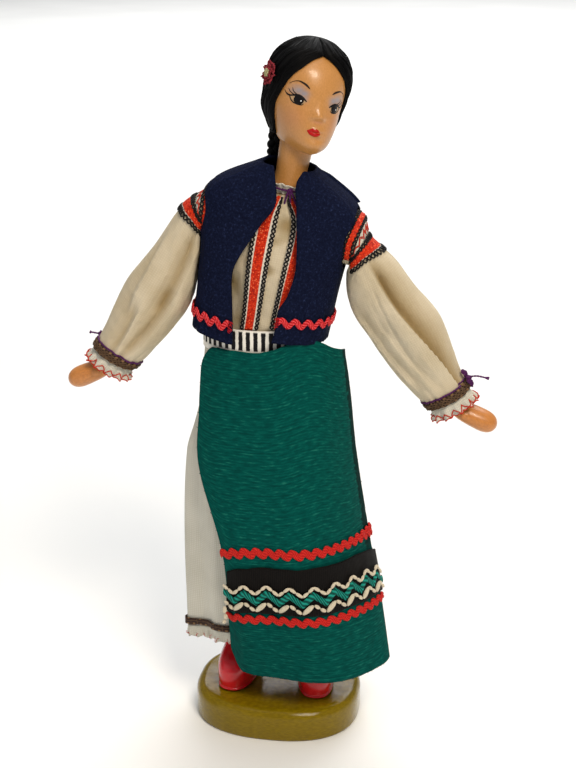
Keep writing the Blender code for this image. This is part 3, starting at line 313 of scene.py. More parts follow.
# Body under the costume. Legs and the torso's two half shells are hollow tan plastic, the foot
# pegs turned wood, the neck and shoulder plugs pale plastic studs. Almost nothing of it shows.

# Painted vinyl: warm tan, a little mottled, with a satin shine.
skin = new_material("painted skin vinyl")
skin_mottle = add_node(skin, "ShaderNodeTexNoise",
    {"Scale": 55.0, "Detail": 4.0, "Roughness": 0.55})
skin_tone = add_node(skin, "ShaderNodeValToRGB", {"Fac": skin_mottle},
    stops=[(0.3, "B6743A"), (0.55, "C6803E"), (0.8, "D08C4A")])
skin_grain = add_node(skin, "ShaderNodeTexNoise", {"Scale": 2200.0, "Detail": 2.0})
skin_bump = add_node(skin, "ShaderNodeBump",
    {"Strength": 0.02, "Distance": 0.0002, "Height": skin_grain})
shader = add_node(skin, "ShaderNodeBsdfPrincipled",
    {"Base Color": skin_tone, "Roughness": 0.34, "Normal": skin_bump, "IOR": 1.5,
    "Coat Weight": 0.1, "Coat Roughness": 0.1})
add_node(skin, "ShaderNodeOutputMaterial", {"Surface": shader})
# Turned beech is pale and matt, the moulded studs smooth and a little glossy.
beech = grainy("turned beech", {"Scale": 900.0, "Detail": 6.0, "Distortion": 1.5},
               [(0.35, "A9845A"), (0.65, "C8A678")], {"Roughness": 0.55})
stud = grainy("pale stud plastic", {"Scale": 300.0, "Detail": 3.0},
              [(0.3, "CFC6B4"), (0.7, "DDD5C4")], {"Roughness": 0.4, "IOR": 1.5})
HIDDEN_BODY = {
    "skin_plastic": (skin, ("leg_left", "leg_right", "torso_front", "torso_back")),
    "peg_wood": (beech, ("foot_peg_left", "foot_peg_right")),
    "plug_plastic": (stud, ("neck_plug", "shoulder_plug_left", "shoulder_plug_right")),
}
for slot_name, (mat, nodes) in HIDDEN_BODY.items():
    for name in nodes:
        shell = bpy.data.objects[name]
        shell.data.materials.clear()
        shell.data.materials.append(mat)


# Underskirt. One tube of thin white cotton, gathered at the waist and falling in nine soft folds.
# Its hem carries a brown patterned ribbon and a gathered white edging with a red picot thread.

def along(stations, x):
    """A smooth curve through sorted stations (x, values...), held at its ends."""
    x = min(max(x, stations[0][0]), stations[-1][0])
    i = 0
    while i < len(stations) - 2 and x > stations[i + 1][0]:
        i += 1
    left, right = stations[i], stations[i + 1]
    before, after = stations[max(i - 1, 0)], stations[min(i + 2, len(stations) - 1)]
    span = right[0] - left[0]
    t = (x - left[0]) / span
    values = []
    for k in range(1, len(left)):
        slope_left = (right[k] - before[k]) / (right[0] - before[0]) * span
        slope_right = (after[k] - left[k]) / (after[0] - left[0]) * span
        values.append((2 * t ** 3 - 3 * t ** 2 + 1) * left[k]
            + (t ** 3 - 2 * t ** 2 + t) * slope_left + (3 * t ** 2 - 2 * t ** 3) * right[k]
            + (t ** 3 - t ** 2) * slope_right)
    return values


def smooth_mesh(bm):
    """The mesh of a bmesh, shaded smooth."""
    mesh = bpy.data.meshes.new("smooth")
    bm.to_mesh(mesh)
    bm.free()
    mesh.polygons.foreach_set("use_smooth", [True] * len(mesh.polygons))
    return mesh


def frames(line, closed=False):
    """Each point of a line with two ways across it, which don't twist."""
    lift = None
    for i, p in enumerate(line):
        after = (i + 1) % len(line) if closed else min(i + 1, len(line) - 1)
        ahead = (line[after] - line[i - 1 if closed else max(i - 1, 0)]).normalized()
        if lift is None:
            lift = ahead.orthogonal().normalized()
        lift = (lift - ahead * lift.dot(ahead)).normalized()
        yield p, lift, ahead.cross(lift)


def steps(low, high, count):
    """Even steps from low to high, both included."""
    return [low + (high - low) * i / count for i in range(count + 1)]


def turns(count):
    """Angles once round, without the last."""
    return [tau * i / count for i in range(count)]


def tube_mesh(lines, radius, sides=6, closed=False):
    """Round threads along lines of points."""
    bm = bmesh.new()
    for line in lines:
        rings = [[bm.verts.new(p + radius * (cos(a) * lift + sin(a) * aside)) for a in turns(sides)]
                 for p, lift, aside in frames(line, closed)]
        for low, high in list(zip(rings, rings[1:])) + ([(rings[-1], rings[0])] if closed else []):
            for k in range(sides):
                bm.faces.new((low[k], low[(k + 1) % sides], high[(k + 1) % sides], high[k]))
        if not closed:
            bm.faces.new(rings[0][::-1])
            bm.faces.new(rings[-1])
    return smooth_mesh(bm)


COTTON, GAP = 0.0008, 0.0004
WAIST = Vector((-0.0067, 0.0, 0.172))
SKIRT_TOP, SKIRT_HEM = 0.1701, 0.0380
# Skirt stations: height, middle x, half width, half depth
SKIRT = ((0.0380, -0.0022, 0.0398, 0.0205), (0.0900, -0.0062, 0.0354, 0.0202),
         (0.1220, -0.0081, 0.0313, 0.0196), (0.1340, -0.0076, 0.0282, 0.0187),
         (0.1446, -0.0072, 0.0259, 0.0178), (0.1701, -0.0067, 0.0234, 0.0166))
SKIRT_FOLDS, SKIRT_FOLD_DEPTH = 9, 0.0016
HEM_LIFT = 0.0068  # the hem hangs higher in front


def skirt_point(angle, z, offset):
    middle, wide, deep = along(SKIRT, z)
    drop = min(1.0, (SKIRT_TOP - z) / (SKIRT_TOP - SKIRT_HEM))
    fold = SKIRT_FOLD_DEPTH * drop * (cos(SKIRT_FOLDS * angle) - 1)
    gather = 0.0003 * (1 - drop) * cos(46 * angle + 3 * sin(2 * angle))
    crease = 0.0005 * drop * noise.noise(Vector((9 * angle, 6 * angle, 38 * z)))
    reach = offset + fold + gather + crease - 0.0003
    return Vector((middle + (wide + reach) * cos(angle), (deep + reach) * sin(angle),
                   z + HEM_LIFT * drop ** 3 * max(0.0, -sin(angle))))


THREAD_MM = 0.9  # the real threads are 0.35 mm apart, drawn coarser to stay visible
WAVE = 0.314  # a wave texture of scale 1 repeats each 0.314


def woven(name, wobble, stains, clouds, shade, wrinkles, fold_shade=None):
    """Plain-woven cotton on UV in millimetres: warp over weft, cloudy tone and soft wrinkles.
    The last argument is the colour of a painted shade, laid into deep folds by the mesh's fold
    attribute."""
    mat = new_material(name)
    uv = add_node(mat, "ShaderNodeTexCoord").outputs["UV"]
    warp, weft = [add_node(mat, "ShaderNodeTexWave", {
        "Vector": uv, "Scale": WAVE / THREAD_MM, "Distortion": wobble, "Detail": 1.0},
        bands_direction=way) for way in "XY"]
    weave = add_node(mat, "ShaderNodeMath", {0: warp, 1: weft}, operation="MULTIPLY")
    stain = add_node(mat, "ShaderNodeTexNoise", {"Vector": uv, "Scale": stains, "Detail": 4.0})
    cloud = add_node(mat, "ShaderNodeValToRGB", {"Fac": stain}, stops=clouds)
    thread = add_node(mat, "ShaderNodeValToRGB", {"Fac": weave},
        stops=[(0.0, shade), (0.6, "FFFFFF")])
    tone = add_node(mat, "ShaderNodeMixRGB", {"Fac": 1.0, "Color1": cloud, "Color2": thread},
                    blend_type="MULTIPLY")
    # Painted shade: deep folds take the given darker colour.
    if fold_shade:
        folds = add_node(mat, "ShaderNodeAttribute", attribute_name="painted_fold_shade")
        tone = add_node(mat, "ShaderNodeMixRGB", {
            "Fac": folds.outputs["Fac"], "Color1": tone, "Color2": linear(fold_shade)})
    wrinkle = add_node(mat, "ShaderNodeTexNoise",
        {"Vector": uv, "Scale": wrinkles[0], "Detail": 3.0})
    height = add_node(mat, "ShaderNodeMath", {0: wrinkle, 1: wrinkles[1], 2: weave},
                      operation="MULTIPLY_ADD")
    bump = add_node(mat, "ShaderNodeBump", {"Strength": 0.2, "Distance": 0.0003, "Height": height})
    shader = add_node(mat, "ShaderNodeBsdfPrincipled", {
        "Base Color": tone, "Roughness": 0.85, "Normal": bump, "Specular IOR Level": 0.15})
    add_node(mat, "ShaderNodeOutputMaterial", {"Surface": shader})
    return mat


# Thin cotton is chalk white and matt, with a faint grid of threads and soft wrinkles.
cotton = woven("thin white cotton", 0.6, 0.05, [(0.3, "CFCCC0"), (0.7, "DEDBD0")], "F0EEE8",
    (0.22, 6.0))
skirt_rows = [[skirt_point(a, z, 0.0) for a in turns(216)] for z in steps(SKIRT_HEM, SKIRT_TOP, 72)]
underskirt = piece("cotton_underskirt", grid_mesh(skirt_rows, closed=True), cotton, "figure",
    "underskirt", (COTTON, -1))

# Jacquard ribbon: dark brown with small woven tan motifs.
brown = new_material("brown jacquard ribbon")
brown_uv = add_node(brown, "ShaderNodeTexCoord").outputs["UV"]
MOTIF_MM = 3.2
brown_motif = add_node(brown, "ShaderNodeTexVoronoi",
    {"Vector": brown_uv, "Scale": 1 / MOTIF_MM, "Randomness": 0.15}, distance="CHEBYCHEV")
brown_tone = add_node(brown, "ShaderNodeValToRGB", {"Fac": brown_motif.outputs["Distance"]},
    stops=[(0.12, "8A6A48"), (0.22, "3A2822"), (0.40, "281A17"), (0.46, "57412F")])
brown_bump = add_node(brown, "ShaderNodeBump",
    {"Strength": 0.3, "Distance": 0.0002, "Height": brown_motif.outputs["Distance"]})
shader = add_node(brown, "ShaderNodeBsdfPrincipled",
    {"Base Color": brown_tone, "Roughness": 0.7, "Normal": brown_bump, "Specular IOR Level": 0.15})
add_node(brown, "ShaderNodeOutputMaterial", {"Surface": shader})
HEM_BAND = 0.0032
band_rows = [[skirt_point(a, SKIRT_HEM + GAP + rise, 0.0003 + GAP) for a in turns(216)]
             for rise in steps(0, HEM_BAND, 4)]
piece("hem_ribbon", grid_mesh(band_rows, closed=True), brown, "figure",
    "underskirt_hem_band", (0.0004, 1))

EDGING_TOP, EDGING_LOW = 0.0376, 0.0318
edging_rows = []
for fall in steps(0, 1, 8):
    row = []
    for angle in turns(432):
        ruffle = 0.0011 * fall * sin(38 * angle + 2 * sin(5 * angle))
        p = skirt_point(angle, SKIRT_HEM, -0.0004 + ruffle - 0.0004 * fall)
        p.z += EDGING_TOP - SKIRT_HEM - (EDGING_TOP - EDGING_LOW - 0.0005) * fall \
            + 0.0004 * fall * sin(76 * angle)
        row.append(p)
    edging_rows.append(row)
edging_rows.reverse()
piece("hem_edging", grid_mesh(edging_rows, closed=True), cotton, "figure",
    "underskirt_edging", (0.0005, 0))

# Twisted cotton thread is matt and a little uneven in its red.
picot = grainy("red picot thread", {"Scale": 2500.0, "Detail": 2.0},
               [(0.3, "A82A1C"), (0.7, "D8432A")], {"Roughness": 0.7, "Specular IOR Level": 0.15},
               (0.4, 0.0002))
picot_line = [p + Vector((p.x, p.y, 0)).normalized() * 0.0005
              + Vector((0, 0, 0.0010 + 0.0006 * (1 if (k // 3) % 2 else -1)))
              for k, p in enumerate(edging_rows[0])]
piece("hem_picot", tube_mesh([picot_line], 0.00010, 5, True), picot, "figure")


# Waistband. A white woven ribbon round the waist, with black bars woven across it.
# It is drawn tight over the blouse's lower end and the skirt's gathers, and sewn at the back.

BAND_LOW, BAND_HIGH = 0.1682, 0.1790
BAND_WIDE, BAND_DEEP = 0.0245, 0.0175
# A ribbed woven ribbon: matt white, its bars a little ragged.
barred = new_material("white ribbon with black bars")
barred_uv = add_node(barred, "ShaderNodeTexCoord").outputs["UV"]
BAR_MM, BAND_MM = 3.1, 10.8
barred_wobble = add_node(barred, "ShaderNodeTexNoise",
    {"Vector": barred_uv, "Scale": 0.6, "Detail": 2.0})
barred_split = add_node(barred, "ShaderNodeSeparateXYZ", {"Vector": barred_uv})
barred_shift = add_node(barred, "ShaderNodeMath",
    {0: barred_wobble, 1: 0.6, 2: barred_split.outputs["X"]}, operation="MULTIPLY_ADD")
barred_turns = add_node(barred, "ShaderNodeMath", {0: barred_shift, 1: 2 / BAR_MM},
    operation="MULTIPLY")
barred_phase = add_node(barred, "ShaderNodeMath", {0: barred_turns, 1: 1.0}, operation="PINGPONG")
barred_bars = add_node(barred, "ShaderNodeValToRGB", {"Fac": barred_phase},
    stops=[(0.50, "141214"), (0.60, "ECE8DE")])
barred_rows = add_node(barred, "ShaderNodeMath", {0: barred_split.outputs["Y"], 1: 1 / BAND_MM},
    operation="MULTIPLY")
barred_edges = add_node(barred, "ShaderNodeValToRGB", {"Fac": barred_rows},
    stops=[(0.19, "FFFFFF"), (0.24, "000000"), (0.92, "000000"), (0.97, "FFFFFF")])
barred_tone = add_node(barred, "ShaderNodeMixRGB",
    {"Fac": barred_edges, "Color1": barred_bars, "Color2": linear("ECE8DE")})
barred_bump = add_node(barred, "ShaderNodeBump",
    {"Strength": 0.3, "Distance": 0.0003, "Height": barred_phase})
shader = add_node(barred, "ShaderNodeBsdfPrincipled",
    {"Base Color": barred_tone, "Roughness": 0.7, "Normal": barred_bump,
    "Specular IOR Level": 0.15})
add_node(barred, "ShaderNodeOutputMaterial", {"Surface": shader})
waist_rows = []
for z in steps(BAND_LOW, BAND_HIGH, 8):
    row = oval(BAND_WIDE - 0.0003, BAND_DEEP - 0.0003, z, 144, centre=(WAIST.x, 0.0))
    for p in row:
        p.x += 0.00025 * noise.noise(Vector((p.x * 140, p.y * 140, z * 90)))
        p.y -= 0.00025 * noise.noise(Vector((p.y * 120, p.x * 150, z * 90)))
    waist_rows.append(row)
waistband = piece("barred_waistband", grid_mesh(waist_rows, closed=True), barred, "figure",
    "waistband", (0.0006, -1))


# Blouse body. Cream cotton over the torso, gathered at the neck, open at both armholes.
# Two embroidered ribbons run down the front beside the placket, and a thread ties the neck.

LEAN_ANGLE = radians(10)  # the body leans to the doll's left
LEAN = Matrix.Translation(WAIST) @ Matrix.Rotation(LEAN_ANGLE, 4, "Y")
SHOULDER_X, SHOULDER_Z = 0.0250, 0.0480
# Blouse stations in the leaning frame: height over the waist, half width, half depth
BLOUSE = ((0.0020, 0.0215, 0.0155), (0.0120, 0.0215, 0.0155), (0.0340, 0.0260, 0.0170),
          (0.0480, 0.0272, 0.0142), (0.0540, 0.0235, 0.0130), (0.0595, 0.0099, 0.0099),
          (0.0613, 0.0079, 0.0079))
BLOUSE_LOW, BLOUSE_HIGH = 0.0030, 0.0613


def blouse_crease(angle, z):
    return 0.0016 * min(0.0, noise.noise(Vector((2.5 * cos(angle), 3 * sin(angle), z * 170 + 7))))


def blouse_point(angle, z, offset):
    wide, deep = along(BLOUSE, z)
    wrinkle = 0.0004 * noise.noise(Vector((5 * cos(angle), 5 * sin(angle), z * 60)))
    wrinkle += 0.0004 * noise.noise(Vector((9 * cos(angle), 9 * sin(angle), z * 210)))
    reach = offset + wrinkle + blouse_crease(angle, z) - 0.0003
    return LEAN @ Vector(((wide + reach) * cos(angle), (deep + reach) * sin(angle), z))


# Old blouse cotton is warm cream, matt and wrinkled; its deep folds get a painted brown shade.
cream = woven("cream blouse cotton", 0.8, 0.06, [(0.3, "C4B69A"), (0.7, "D6CAB2")], "F8F6F2",
    (0.25, 16.0), "A08A62")


def paint_fold_shade(mesh, shares):
    """Write each point's share of painted shade, which the cotton shows in its folds."""
    fold_shade = mesh.color_attributes.new("painted_fold_shade", "FLOAT_COLOR", "POINT")
    for point, shade_share in zip(fold_shade.data, shares):
        point.color = (shade_share, shade_share, shade_share, 1.0)


# Crease depth for full painted shade on the blouse, and the radius of its armholes
BLOUSE_SHADE_DEPTH, ARMHOLE_BLOUSE = 0.0009, 0.0116
blouse_heights = steps(BLOUSE_LOW, BLOUSE_HIGH, 60)
blouse_mesh = grid_mesh([[blouse_point(a, z, 0.0) for a in turns(144)] for z in blouse_heights],
    closed=True)
# Painted shade: the deeper a blouse crease, the browner its cloth.
paint_fold_shade(blouse_mesh, [min(1.0, -blouse_crease(a, z) / BLOUSE_SHADE_DEPTH) for z in blouse_heights
    for a in turns(144)])
bm = bmesh.new()
bm.from_mesh(blouse_mesh)
unlean = LEAN.inverted()
holes = []
for face in bm.faces:
    q = unlean @ face.calc_center_median()
    if abs(q.x) > 0.008 and hypot(q.y, q.z - SHOULDER_Z) < ARMHOLE_BLOUSE:
        holes.append(face)
bmesh.ops.delete(bm, geom=holes, context="FACES")
bm.to_mesh(blouse_mesh)
bm.free()
blouse = piece("cotton_blouse", blouse_mesh, cream, "figure", "blouse_body",
    (COTTON, -1))


COLLAR_LOW, COLLAR_HIGH, COLLAR_RADIUS = 0.0617, 0.0647, 0.0079
collar_rows = []
for t in steps(0, 1, 8):
    row = []
    for angle in turns(144):
        flare = COLLAR_RADIUS - 0.0002 + 0.0006 * (2 * t - 1) ** 2
        flare += 0.0003 * abs(2 * t - 1) * sin(19 * angle + sin(3 * angle))
        z = COLLAR_LOW + (COLLAR_HIGH - COLLAR_LOW) * t
        z += 0.0012 * t * noise.noise(Vector((3 * cos(angle), 3 * sin(angle), 2.0)))
        row.append(LEAN @ Vector((flare * cos(angle), flare * sin(angle), z)))
    collar_rows.append(row)
piece("gathered_collar", grid_mesh(collar_rows, closed=True), cotton, "figure",
    "blouse_collar", (0.0005, -1))

# Twisted embroidery thread: deep purple with a slight silky shine.
purple = grainy("purple twisted thread", {"Scale": 3000.0, "Detail": 2.0},
                [(0.3, "3A123F"), (0.7, "6A2C70")], {"Roughness": 0.5, "Specular IOR Level": 0.2},
                (0.5, 0.0003))


def twist(centre, radius, turns_per_mm):
    """Two strands twisted round a centre line."""
    strands = []
    for phase in (0.0, pi):
        strand, walked, before = [], 0.0, centre[0]
        for p, lift, aside in frames(centre):
            walked += (p - before).length * 1000
            before = p
            turn = tau * turns_per_mm * walked + phase
            strand.append(p + radius * (cos(turn) * lift + sin(turn) * aside))
        strands.append(strand)
    return strands


TIE_RADIUS = 0.0005
tie_middle = (COLLAR_LOW + COLLAR_HIGH) / 2
tie_front = LEAN @ Vector((0.0022, -COLLAR_RADIUS - GAP - TIE_RADIUS, tie_middle))
tie_ring = [LEAN @ Vector(((COLLAR_RADIUS + GAP + TIE_RADIUS) * cos(tau * j / 120),
    (COLLAR_RADIUS + GAP + TIE_RADIUS) * sin(tau * j / 120), tie_middle)) for j in range(121)]
tie_lines = twist(tie_ring, 0.00028, 0.7)
for reach, drop in ((0.0030, 0.0065), (-0.0024, 0.0075), (0.0006, 0.0085)):
    tail = [tie_front + Vector((reach * t, -0.0016 * sin(2.4 * t), -drop * t * t))
        for t in steps(0, 1, 16)]
    tie_lines += twist(tail, 0.00022, 0.7)
for k in range(3):
    knot = [tie_front + Vector((0.0010 * cos(a + k), -0.0006 + 0.0005 * sin(2 * a),
        0.0009 * sin(a + 2 * k))) for a in steps(0, tau, 16)]
    tie_lines.append(knot)
piece("neck_thread", tube_mesh(tie_lines, 0.00030), purple, "figure", "neck_tie")

# Each ribbon is a speckled red strip on a cream ground, between two crocheted black chains.
PLACKET_X, PLACKET_HALF, PLACKET_RIBBON = 0.0032, 0.0030, 0.0092
RIBBON_MM = 7.4  # middle width on the narrowing blouse
# Embroidered ribbon: a bright red strip with orange and dark speckles on matt cream.
ribbon = new_material("red strip woven on cream ribbon")
ribbon_uv = add_node(ribbon, "ShaderNodeTexCoord").outputs["UV"]
ribbon_split = add_node(ribbon, "ShaderNodeSeparateXYZ", {"Vector": ribbon_uv})
ribbon_across = add_node(ribbon, "ShaderNodeMath", {0: ribbon_split.outputs["X"], 1: 1 / RIBBON_MM},
    operation="MULTIPLY")
ribbon_strip = add_node(ribbon, "ShaderNodeValToRGB", {"Fac": ribbon_across},
    stops=[(0.24, "000000"), (0.27, "FFFFFF"), (0.73, "FFFFFF"), (0.76, "000000")])
SPECKLE_MM = 0.8
ribbon_dots = add_node(ribbon, "ShaderNodeTexVoronoi",
    {"Vector": ribbon_uv, "Scale": 1 / SPECKLE_MM, "Randomness": 0.7})
ribbon_red = add_node(ribbon, "ShaderNodeValToRGB", {"Fac": ribbon_dots.outputs["Distance"]},
    stops=[(0.14, "EC8C5C"), (0.30, "D8340F"), (0.62, "C02808"), (0.75, "98180A")])
ribbon_tone = add_node(ribbon, "ShaderNodeMixRGB",
    {"Fac": ribbon_strip, "Color1": linear("E2DACA"), "Color2": ribbon_red})
ribbon_bump = add_node(ribbon, "ShaderNodeBump",
    {"Strength": 0.5, "Distance": 0.0003, "Height": ribbon_dots.outputs["Distance"]}, invert=True)
shader = add_node(ribbon, "ShaderNodeBsdfPrincipled",
    {"Base Color": ribbon_tone, "Roughness": 0.6, "Normal": ribbon_bump,
    "Specular IOR Level": 0.15})
add_node(ribbon, "ShaderNodeOutputMaterial", {"Surface": shader})
# Crochet cotton: black with a dull sheen on each twisted link.
crochet = grainy("black crochet cotton", {"Scale": 2200.0, "Detail": 2.0},
    [(0.3, "0C0A0A"), (0.7, "242020")], {"Roughness": 0.55, "Specular IOR Level": 0.15},
    (0.4, 0.0002))
LINK_LENGTH, LINK_HALF = 0.00180, 0.00072
STEP = 0.0002  # between points along a trim


def chain_lines(place, length, across):
    """Two threads that cross at every link of a crocheted chain, on place(along, across, lift)."""
    lines = []
    for phase in (0.0, pi):
        line = []
        for i in range(int(length / STEP) + 1):
            turn = pi * STEP * i / LINK_LENGTH + phase
            line.append(place(STEP * i, across + LINK_HALF * sin(turn),
                              0.00012 * cos(turn)))
        lines.append(line)
    return lines


def blouse_front(x, z, offset):
    """A point of the blouse front, x from the middle narrowing with the blouse."""
    wide, deep = along(BLOUSE, z)
    wide, deep = wide + offset, deep + offset
    at = x * min(1.0, 0.8 * wide / 0.0230)
    return LEAN @ Vector((at, -deep * sqrt(1 - (at / wide) ** 2), z))


for side, sign in (("left", 1), ("right", -1)):
    near = PLACKET_X + sign * PLACKET_HALF
    start = min(near, near + sign * PLACKET_RIBBON)
    high = 0.0605
    rows = []
    for i in range(57):
        row = []
        for j in range(13):
            x = start + PLACKET_RIBBON * j / 12
            low = 0.0074 + x * tan(LEAN_ANGLE)  # the waistband's upper edge
            row.append(blouse_front(x, low + (high - low) * i / 56, GAP + 0.0001 * sin(9 * i)))
        rows.append(row)
    piece("placket_strip_" + side, grid_mesh(rows), ribbon, "figure",
        "placket_ribbon_" + side, (0.0004, 1))
    lines = []
    for middle in (0.09, 0.91):
        x = start + PLACKET_RIBBON * middle
        low = 0.0076 + x * tan(LEAN_ANGLE)
        lines += chain_lines(lambda s, x, lift: blouse_front(x, low + s, GAP + 0.0006 + lift),
            high - low, x)
    piece("placket_chain_" + side, tube_mesh(lines, 0.00036, 5), crochet, "figure")


# Vest. Navy wool felt about a millimetre thick, sewn at the shoulders and open down the front,
# with one armhole at each side. A coral rickrack runs round it a centimetre above the hem.

FELT = 0.0012
VEST_HEM, VEST_TOP = 0.0010, 0.0720
VEST_SQUARENESS, VEST_TILT, VEST_SHIFT = 3.0, 0.08, -0.0010
ARMHOLE = 0.0124
# Vest stations in the leaning frame: height over the waist, half width, half depth
VEST = ((0.0010, 0.0275, 0.0205), (0.0340, 0.0291, 0.0202), (0.0480, 0.0317, 0.0188),
        (0.0600, 0.0296, 0.0168), (0.0720, 0.0108, 0.0108))
# Front edges: share of the vest's height, x of the edge
EDGE_RIGHT = ((-0.20, -0.0070), (0.06, -0.0092), (0.38, -0.0134), (0.46, -0.0126), (0.68, -0.0060),
              (0.81, -0.0015), (0.93, -0.0035), (1.06, -0.0085))
EDGE_LEFT = ((-0.20, 0.0055), (0.14, 0.0078), (0.20, 0.0072), (0.30, 0.0098), (0.49, 0.0110),
             (0.83, 0.0067), (0.95, 0.0048), (1.06, 0.0095))


def vest_point(angle, z, offset):
    wide, deep = along(VEST, z)
    c, s = cos(angle), sin(angle)
    x = (wide + offset) * copysign(abs(c) ** (2 / VEST_SQUARENESS), c)
    y = (deep + offset) * copysign(abs(s) ** (2 / VEST_SQUARENESS), s)
    fade = (VEST_TOP - z) / (VEST_TOP - VEST_HEM)
    front = min(1.0, max(0.0, (0.3 - s) / 0.6))
    ride_up = 0.0030 if x > 0 else 0.0024 * min(1.0, max(0.0, (-x - 0.010) / 0.017))
    return LEAN @ Vector((x + VEST_SHIFT, y,
        z + VEST_TILT * x * fade + ride_up * front * fade ** 2))


def vest_angle(x, z):
    """Angle of the vest's front at x."""
    x -= VEST_SHIFT
    c = copysign(min(1.0, abs(x) / along(VEST, z)[0]) ** (VEST_SQUARENESS / 2), x)
    return -acos(c)


# Wool felt is deep navy and quite matt, with pale loose fibres.
felt = new_material("navy wool felt")
felt_uv = add_node(felt, "ShaderNodeTexCoord").outputs["Object"]
FIBRE_MM = 0.9  # the real fibres are finer, drawn coarser to stay visible
felt_fibre = add_node(felt, "ShaderNodeTexNoise",
    {"Vector": felt_uv, "Scale": 1000 / FIBRE_MM, "Detail": 3.0, "Roughness": 0.7})
felt_tone = add_node(felt, "ShaderNodeValToRGB", {"Fac": felt_fibre},
    stops=[(0.30, "0A0E22"), (0.55, "11172E"), (0.66, "1B2340"), (0.76, "323C5E")])
felt_bump = add_node(felt, "ShaderNodeBump",
    {"Strength": 0.55, "Distance": 0.0004, "Height": felt_fibre})
shader = add_node(felt, "ShaderNodeBsdfPrincipled",
    {"Base Color": felt_tone, "Roughness": 0.95, "Normal": felt_bump, "Specular IOR Level": 0.05})
add_node(felt, "ShaderNodeOutputMaterial", {"Surface": shader})


def baked(obj):
    """Apply an object's modifiers to its mesh."""
    graph = bpy.context.evaluated_depsgraph_get()
    made = bpy.data.meshes.new_from_object(obj.evaluated_get(graph))
    obj.modifiers.clear()
    obj.data = made
    return obj


vest_rows = []
for i in range(73):
    share = i / 72
    z = VEST_HEM + (VEST_TOP - VEST_HEM) * share
    start = vest_angle(along(EDGE_LEFT, share)[0], z)
    end = tau + vest_angle(along(EDGE_RIGHT, share)[0], z)
    row = []
    for j in range(161):
        angle = start + (end - start) * j / 160
        swell = 0.0004 * noise.noise(Vector((6 * cos(angle), 6 * sin(angle), 55 * z)))
        row.append(vest_point(angle, z, swell - 0.0003))
    vest_rows.append(row)
vest = link("felt_vest", grid_mesh(vest_rows), felt)
solid = vest.modifiers.new("thickness", "SOLIDIFY")
solid.thickness, solid.offset = FELT, -1
hole_rings = [[LEAN @ Vector((x, ARMHOLE * cos(a), SHOULDER_Z + ARMHOLE * sin(a)))
               for a in turns(48)] for x in (-0.06, 0.06)]
hole_tool = link("armhole_tool", grid_mesh(hole_rings, closed=True, cap=True))
cut = vest.modifiers.new("armholes", "BOOLEAN")
cut.object = hole_tool
cut.solver = "EXACT"
baked(vest)
bpy.data.objects.remove(hole_tool)
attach(vest, "figure")
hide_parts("vest")
flap_rows = []
for t in steps(0, 1, 24):  # the back's seam allowance stands up along the doll's left shoulder
    z = 0.0708 - 0.0108 * t
    foot = vest_point(0.30, z, -0.0012)
    out = (vest_point(0.30, z, 0.002) - foot).normalized()
    back = LEAN.to_3x3() @ Vector((0, 1, 0.4))
    flap_rows.append([foot + (out * h + back * 0.3 * h * h) * 0.0018 * min(1.0, 0.25 + 5 * t)
                      for h in (0.0, 0.25, 0.5, 0.75, 1.0)])
piece("vest_shoulder_seam", grid_mesh(flap_rows), felt, "figure", thick=(FELT, 0))


def walker(curve, start, end, count=400):
    """The length of curve(t) from start to end, and the t at each length walked."""
    places = [start + (end - start) * i / count for i in range(count + 1)]
    points = [curve(t) for t in places]
    walked = np.concatenate([[0], np.cumsum([(b - a).length for a, b in zip(points, points[1:])])])
    return walked[-1], lambda s: float(np.interp(s, walked, places))


def rickrack_mesh(place, length, period, swing, width, lean=0.25):
    """A wavy braid on place(along, across, lift): two padded edges and a groove between them."""
    rows = []
    for k in range(13):
        t = k / 12 - 0.5
        row = []
        for i in range(int(length / STEP) + 1):
            turn = tau * STEP * i / period
            wave = sin(turn + lean * sin(turn))
            slope = tau * swing / period * cos(turn)
            aside = -0.4 * width * t * slope / hypot(1.0, slope)
            pad = 0.00045 * (1 - (2 * t) ** 4) - 0.00018 * exp(-(t / 0.07) ** 2)
            pad += 0.00008 * sin(pi * (STEP * i / 0.0005 + 6 * abs(t)))
            row.append(place(STEP * i + aside, swing * wave + width * t, pad))
        rows.append(row)
    return grid_mesh(rows)


def banded(name, band_mm, wobble, stops, bump, way="DIAGONAL", detail=2.0, gloss=0.15):
    """A plaited or ribbed trim on UV in millimetres. bump: strength and depth."""
    mat = new_material(name)
    uv = add_node(mat, "ShaderNodeTexCoord").outputs["UV"]
    bands = add_node(mat, "ShaderNodeTexWave",
        {"Vector": uv, "Scale": WAVE / band_mm, "Distortion": wobble, "Detail": detail},
        bands_direction=way)
    tone = add_node(mat, "ShaderNodeValToRGB", {"Fac": bands}, stops=stops)
    relief = add_node(mat, "ShaderNodeBump",
        {"Strength": bump[0], "Distance": bump[1], "Height": bands})
    shader = add_node(mat, "ShaderNodeBsdfPrincipled", {
        "Base Color": tone, "Roughness": 0.65, "Normal": relief, "Specular IOR Level": gloss})
    add_node(mat, "ShaderNodeOutputMaterial", {"Surface": shader})
    return mat


# Plaited cotton: coral red, matt, with fine slanting ribs.
coral = banded("coral rickrack cotton", 0.7, 1.5,
    [(0.2, "B81216"), (0.6, "D42A2E"), (0.9, "E65258")], (0.5, 0.0002))
TRIM_Z = VEST_HEM + 0.0100
TRIM_ENDS = (vest_angle(0.0082, TRIM_Z), tau + vest_angle(-0.0108, TRIM_Z))


def trim_place(angle, dz, lift):
    """A point of the rickrack, which runs lower round the doll's right front."""
    lower = min(1.0, max(0.0, (angle - 2.6) / 0.8))
    return vest_point(angle, TRIM_Z - 0.0026 * lower + dz, GAP + lift)


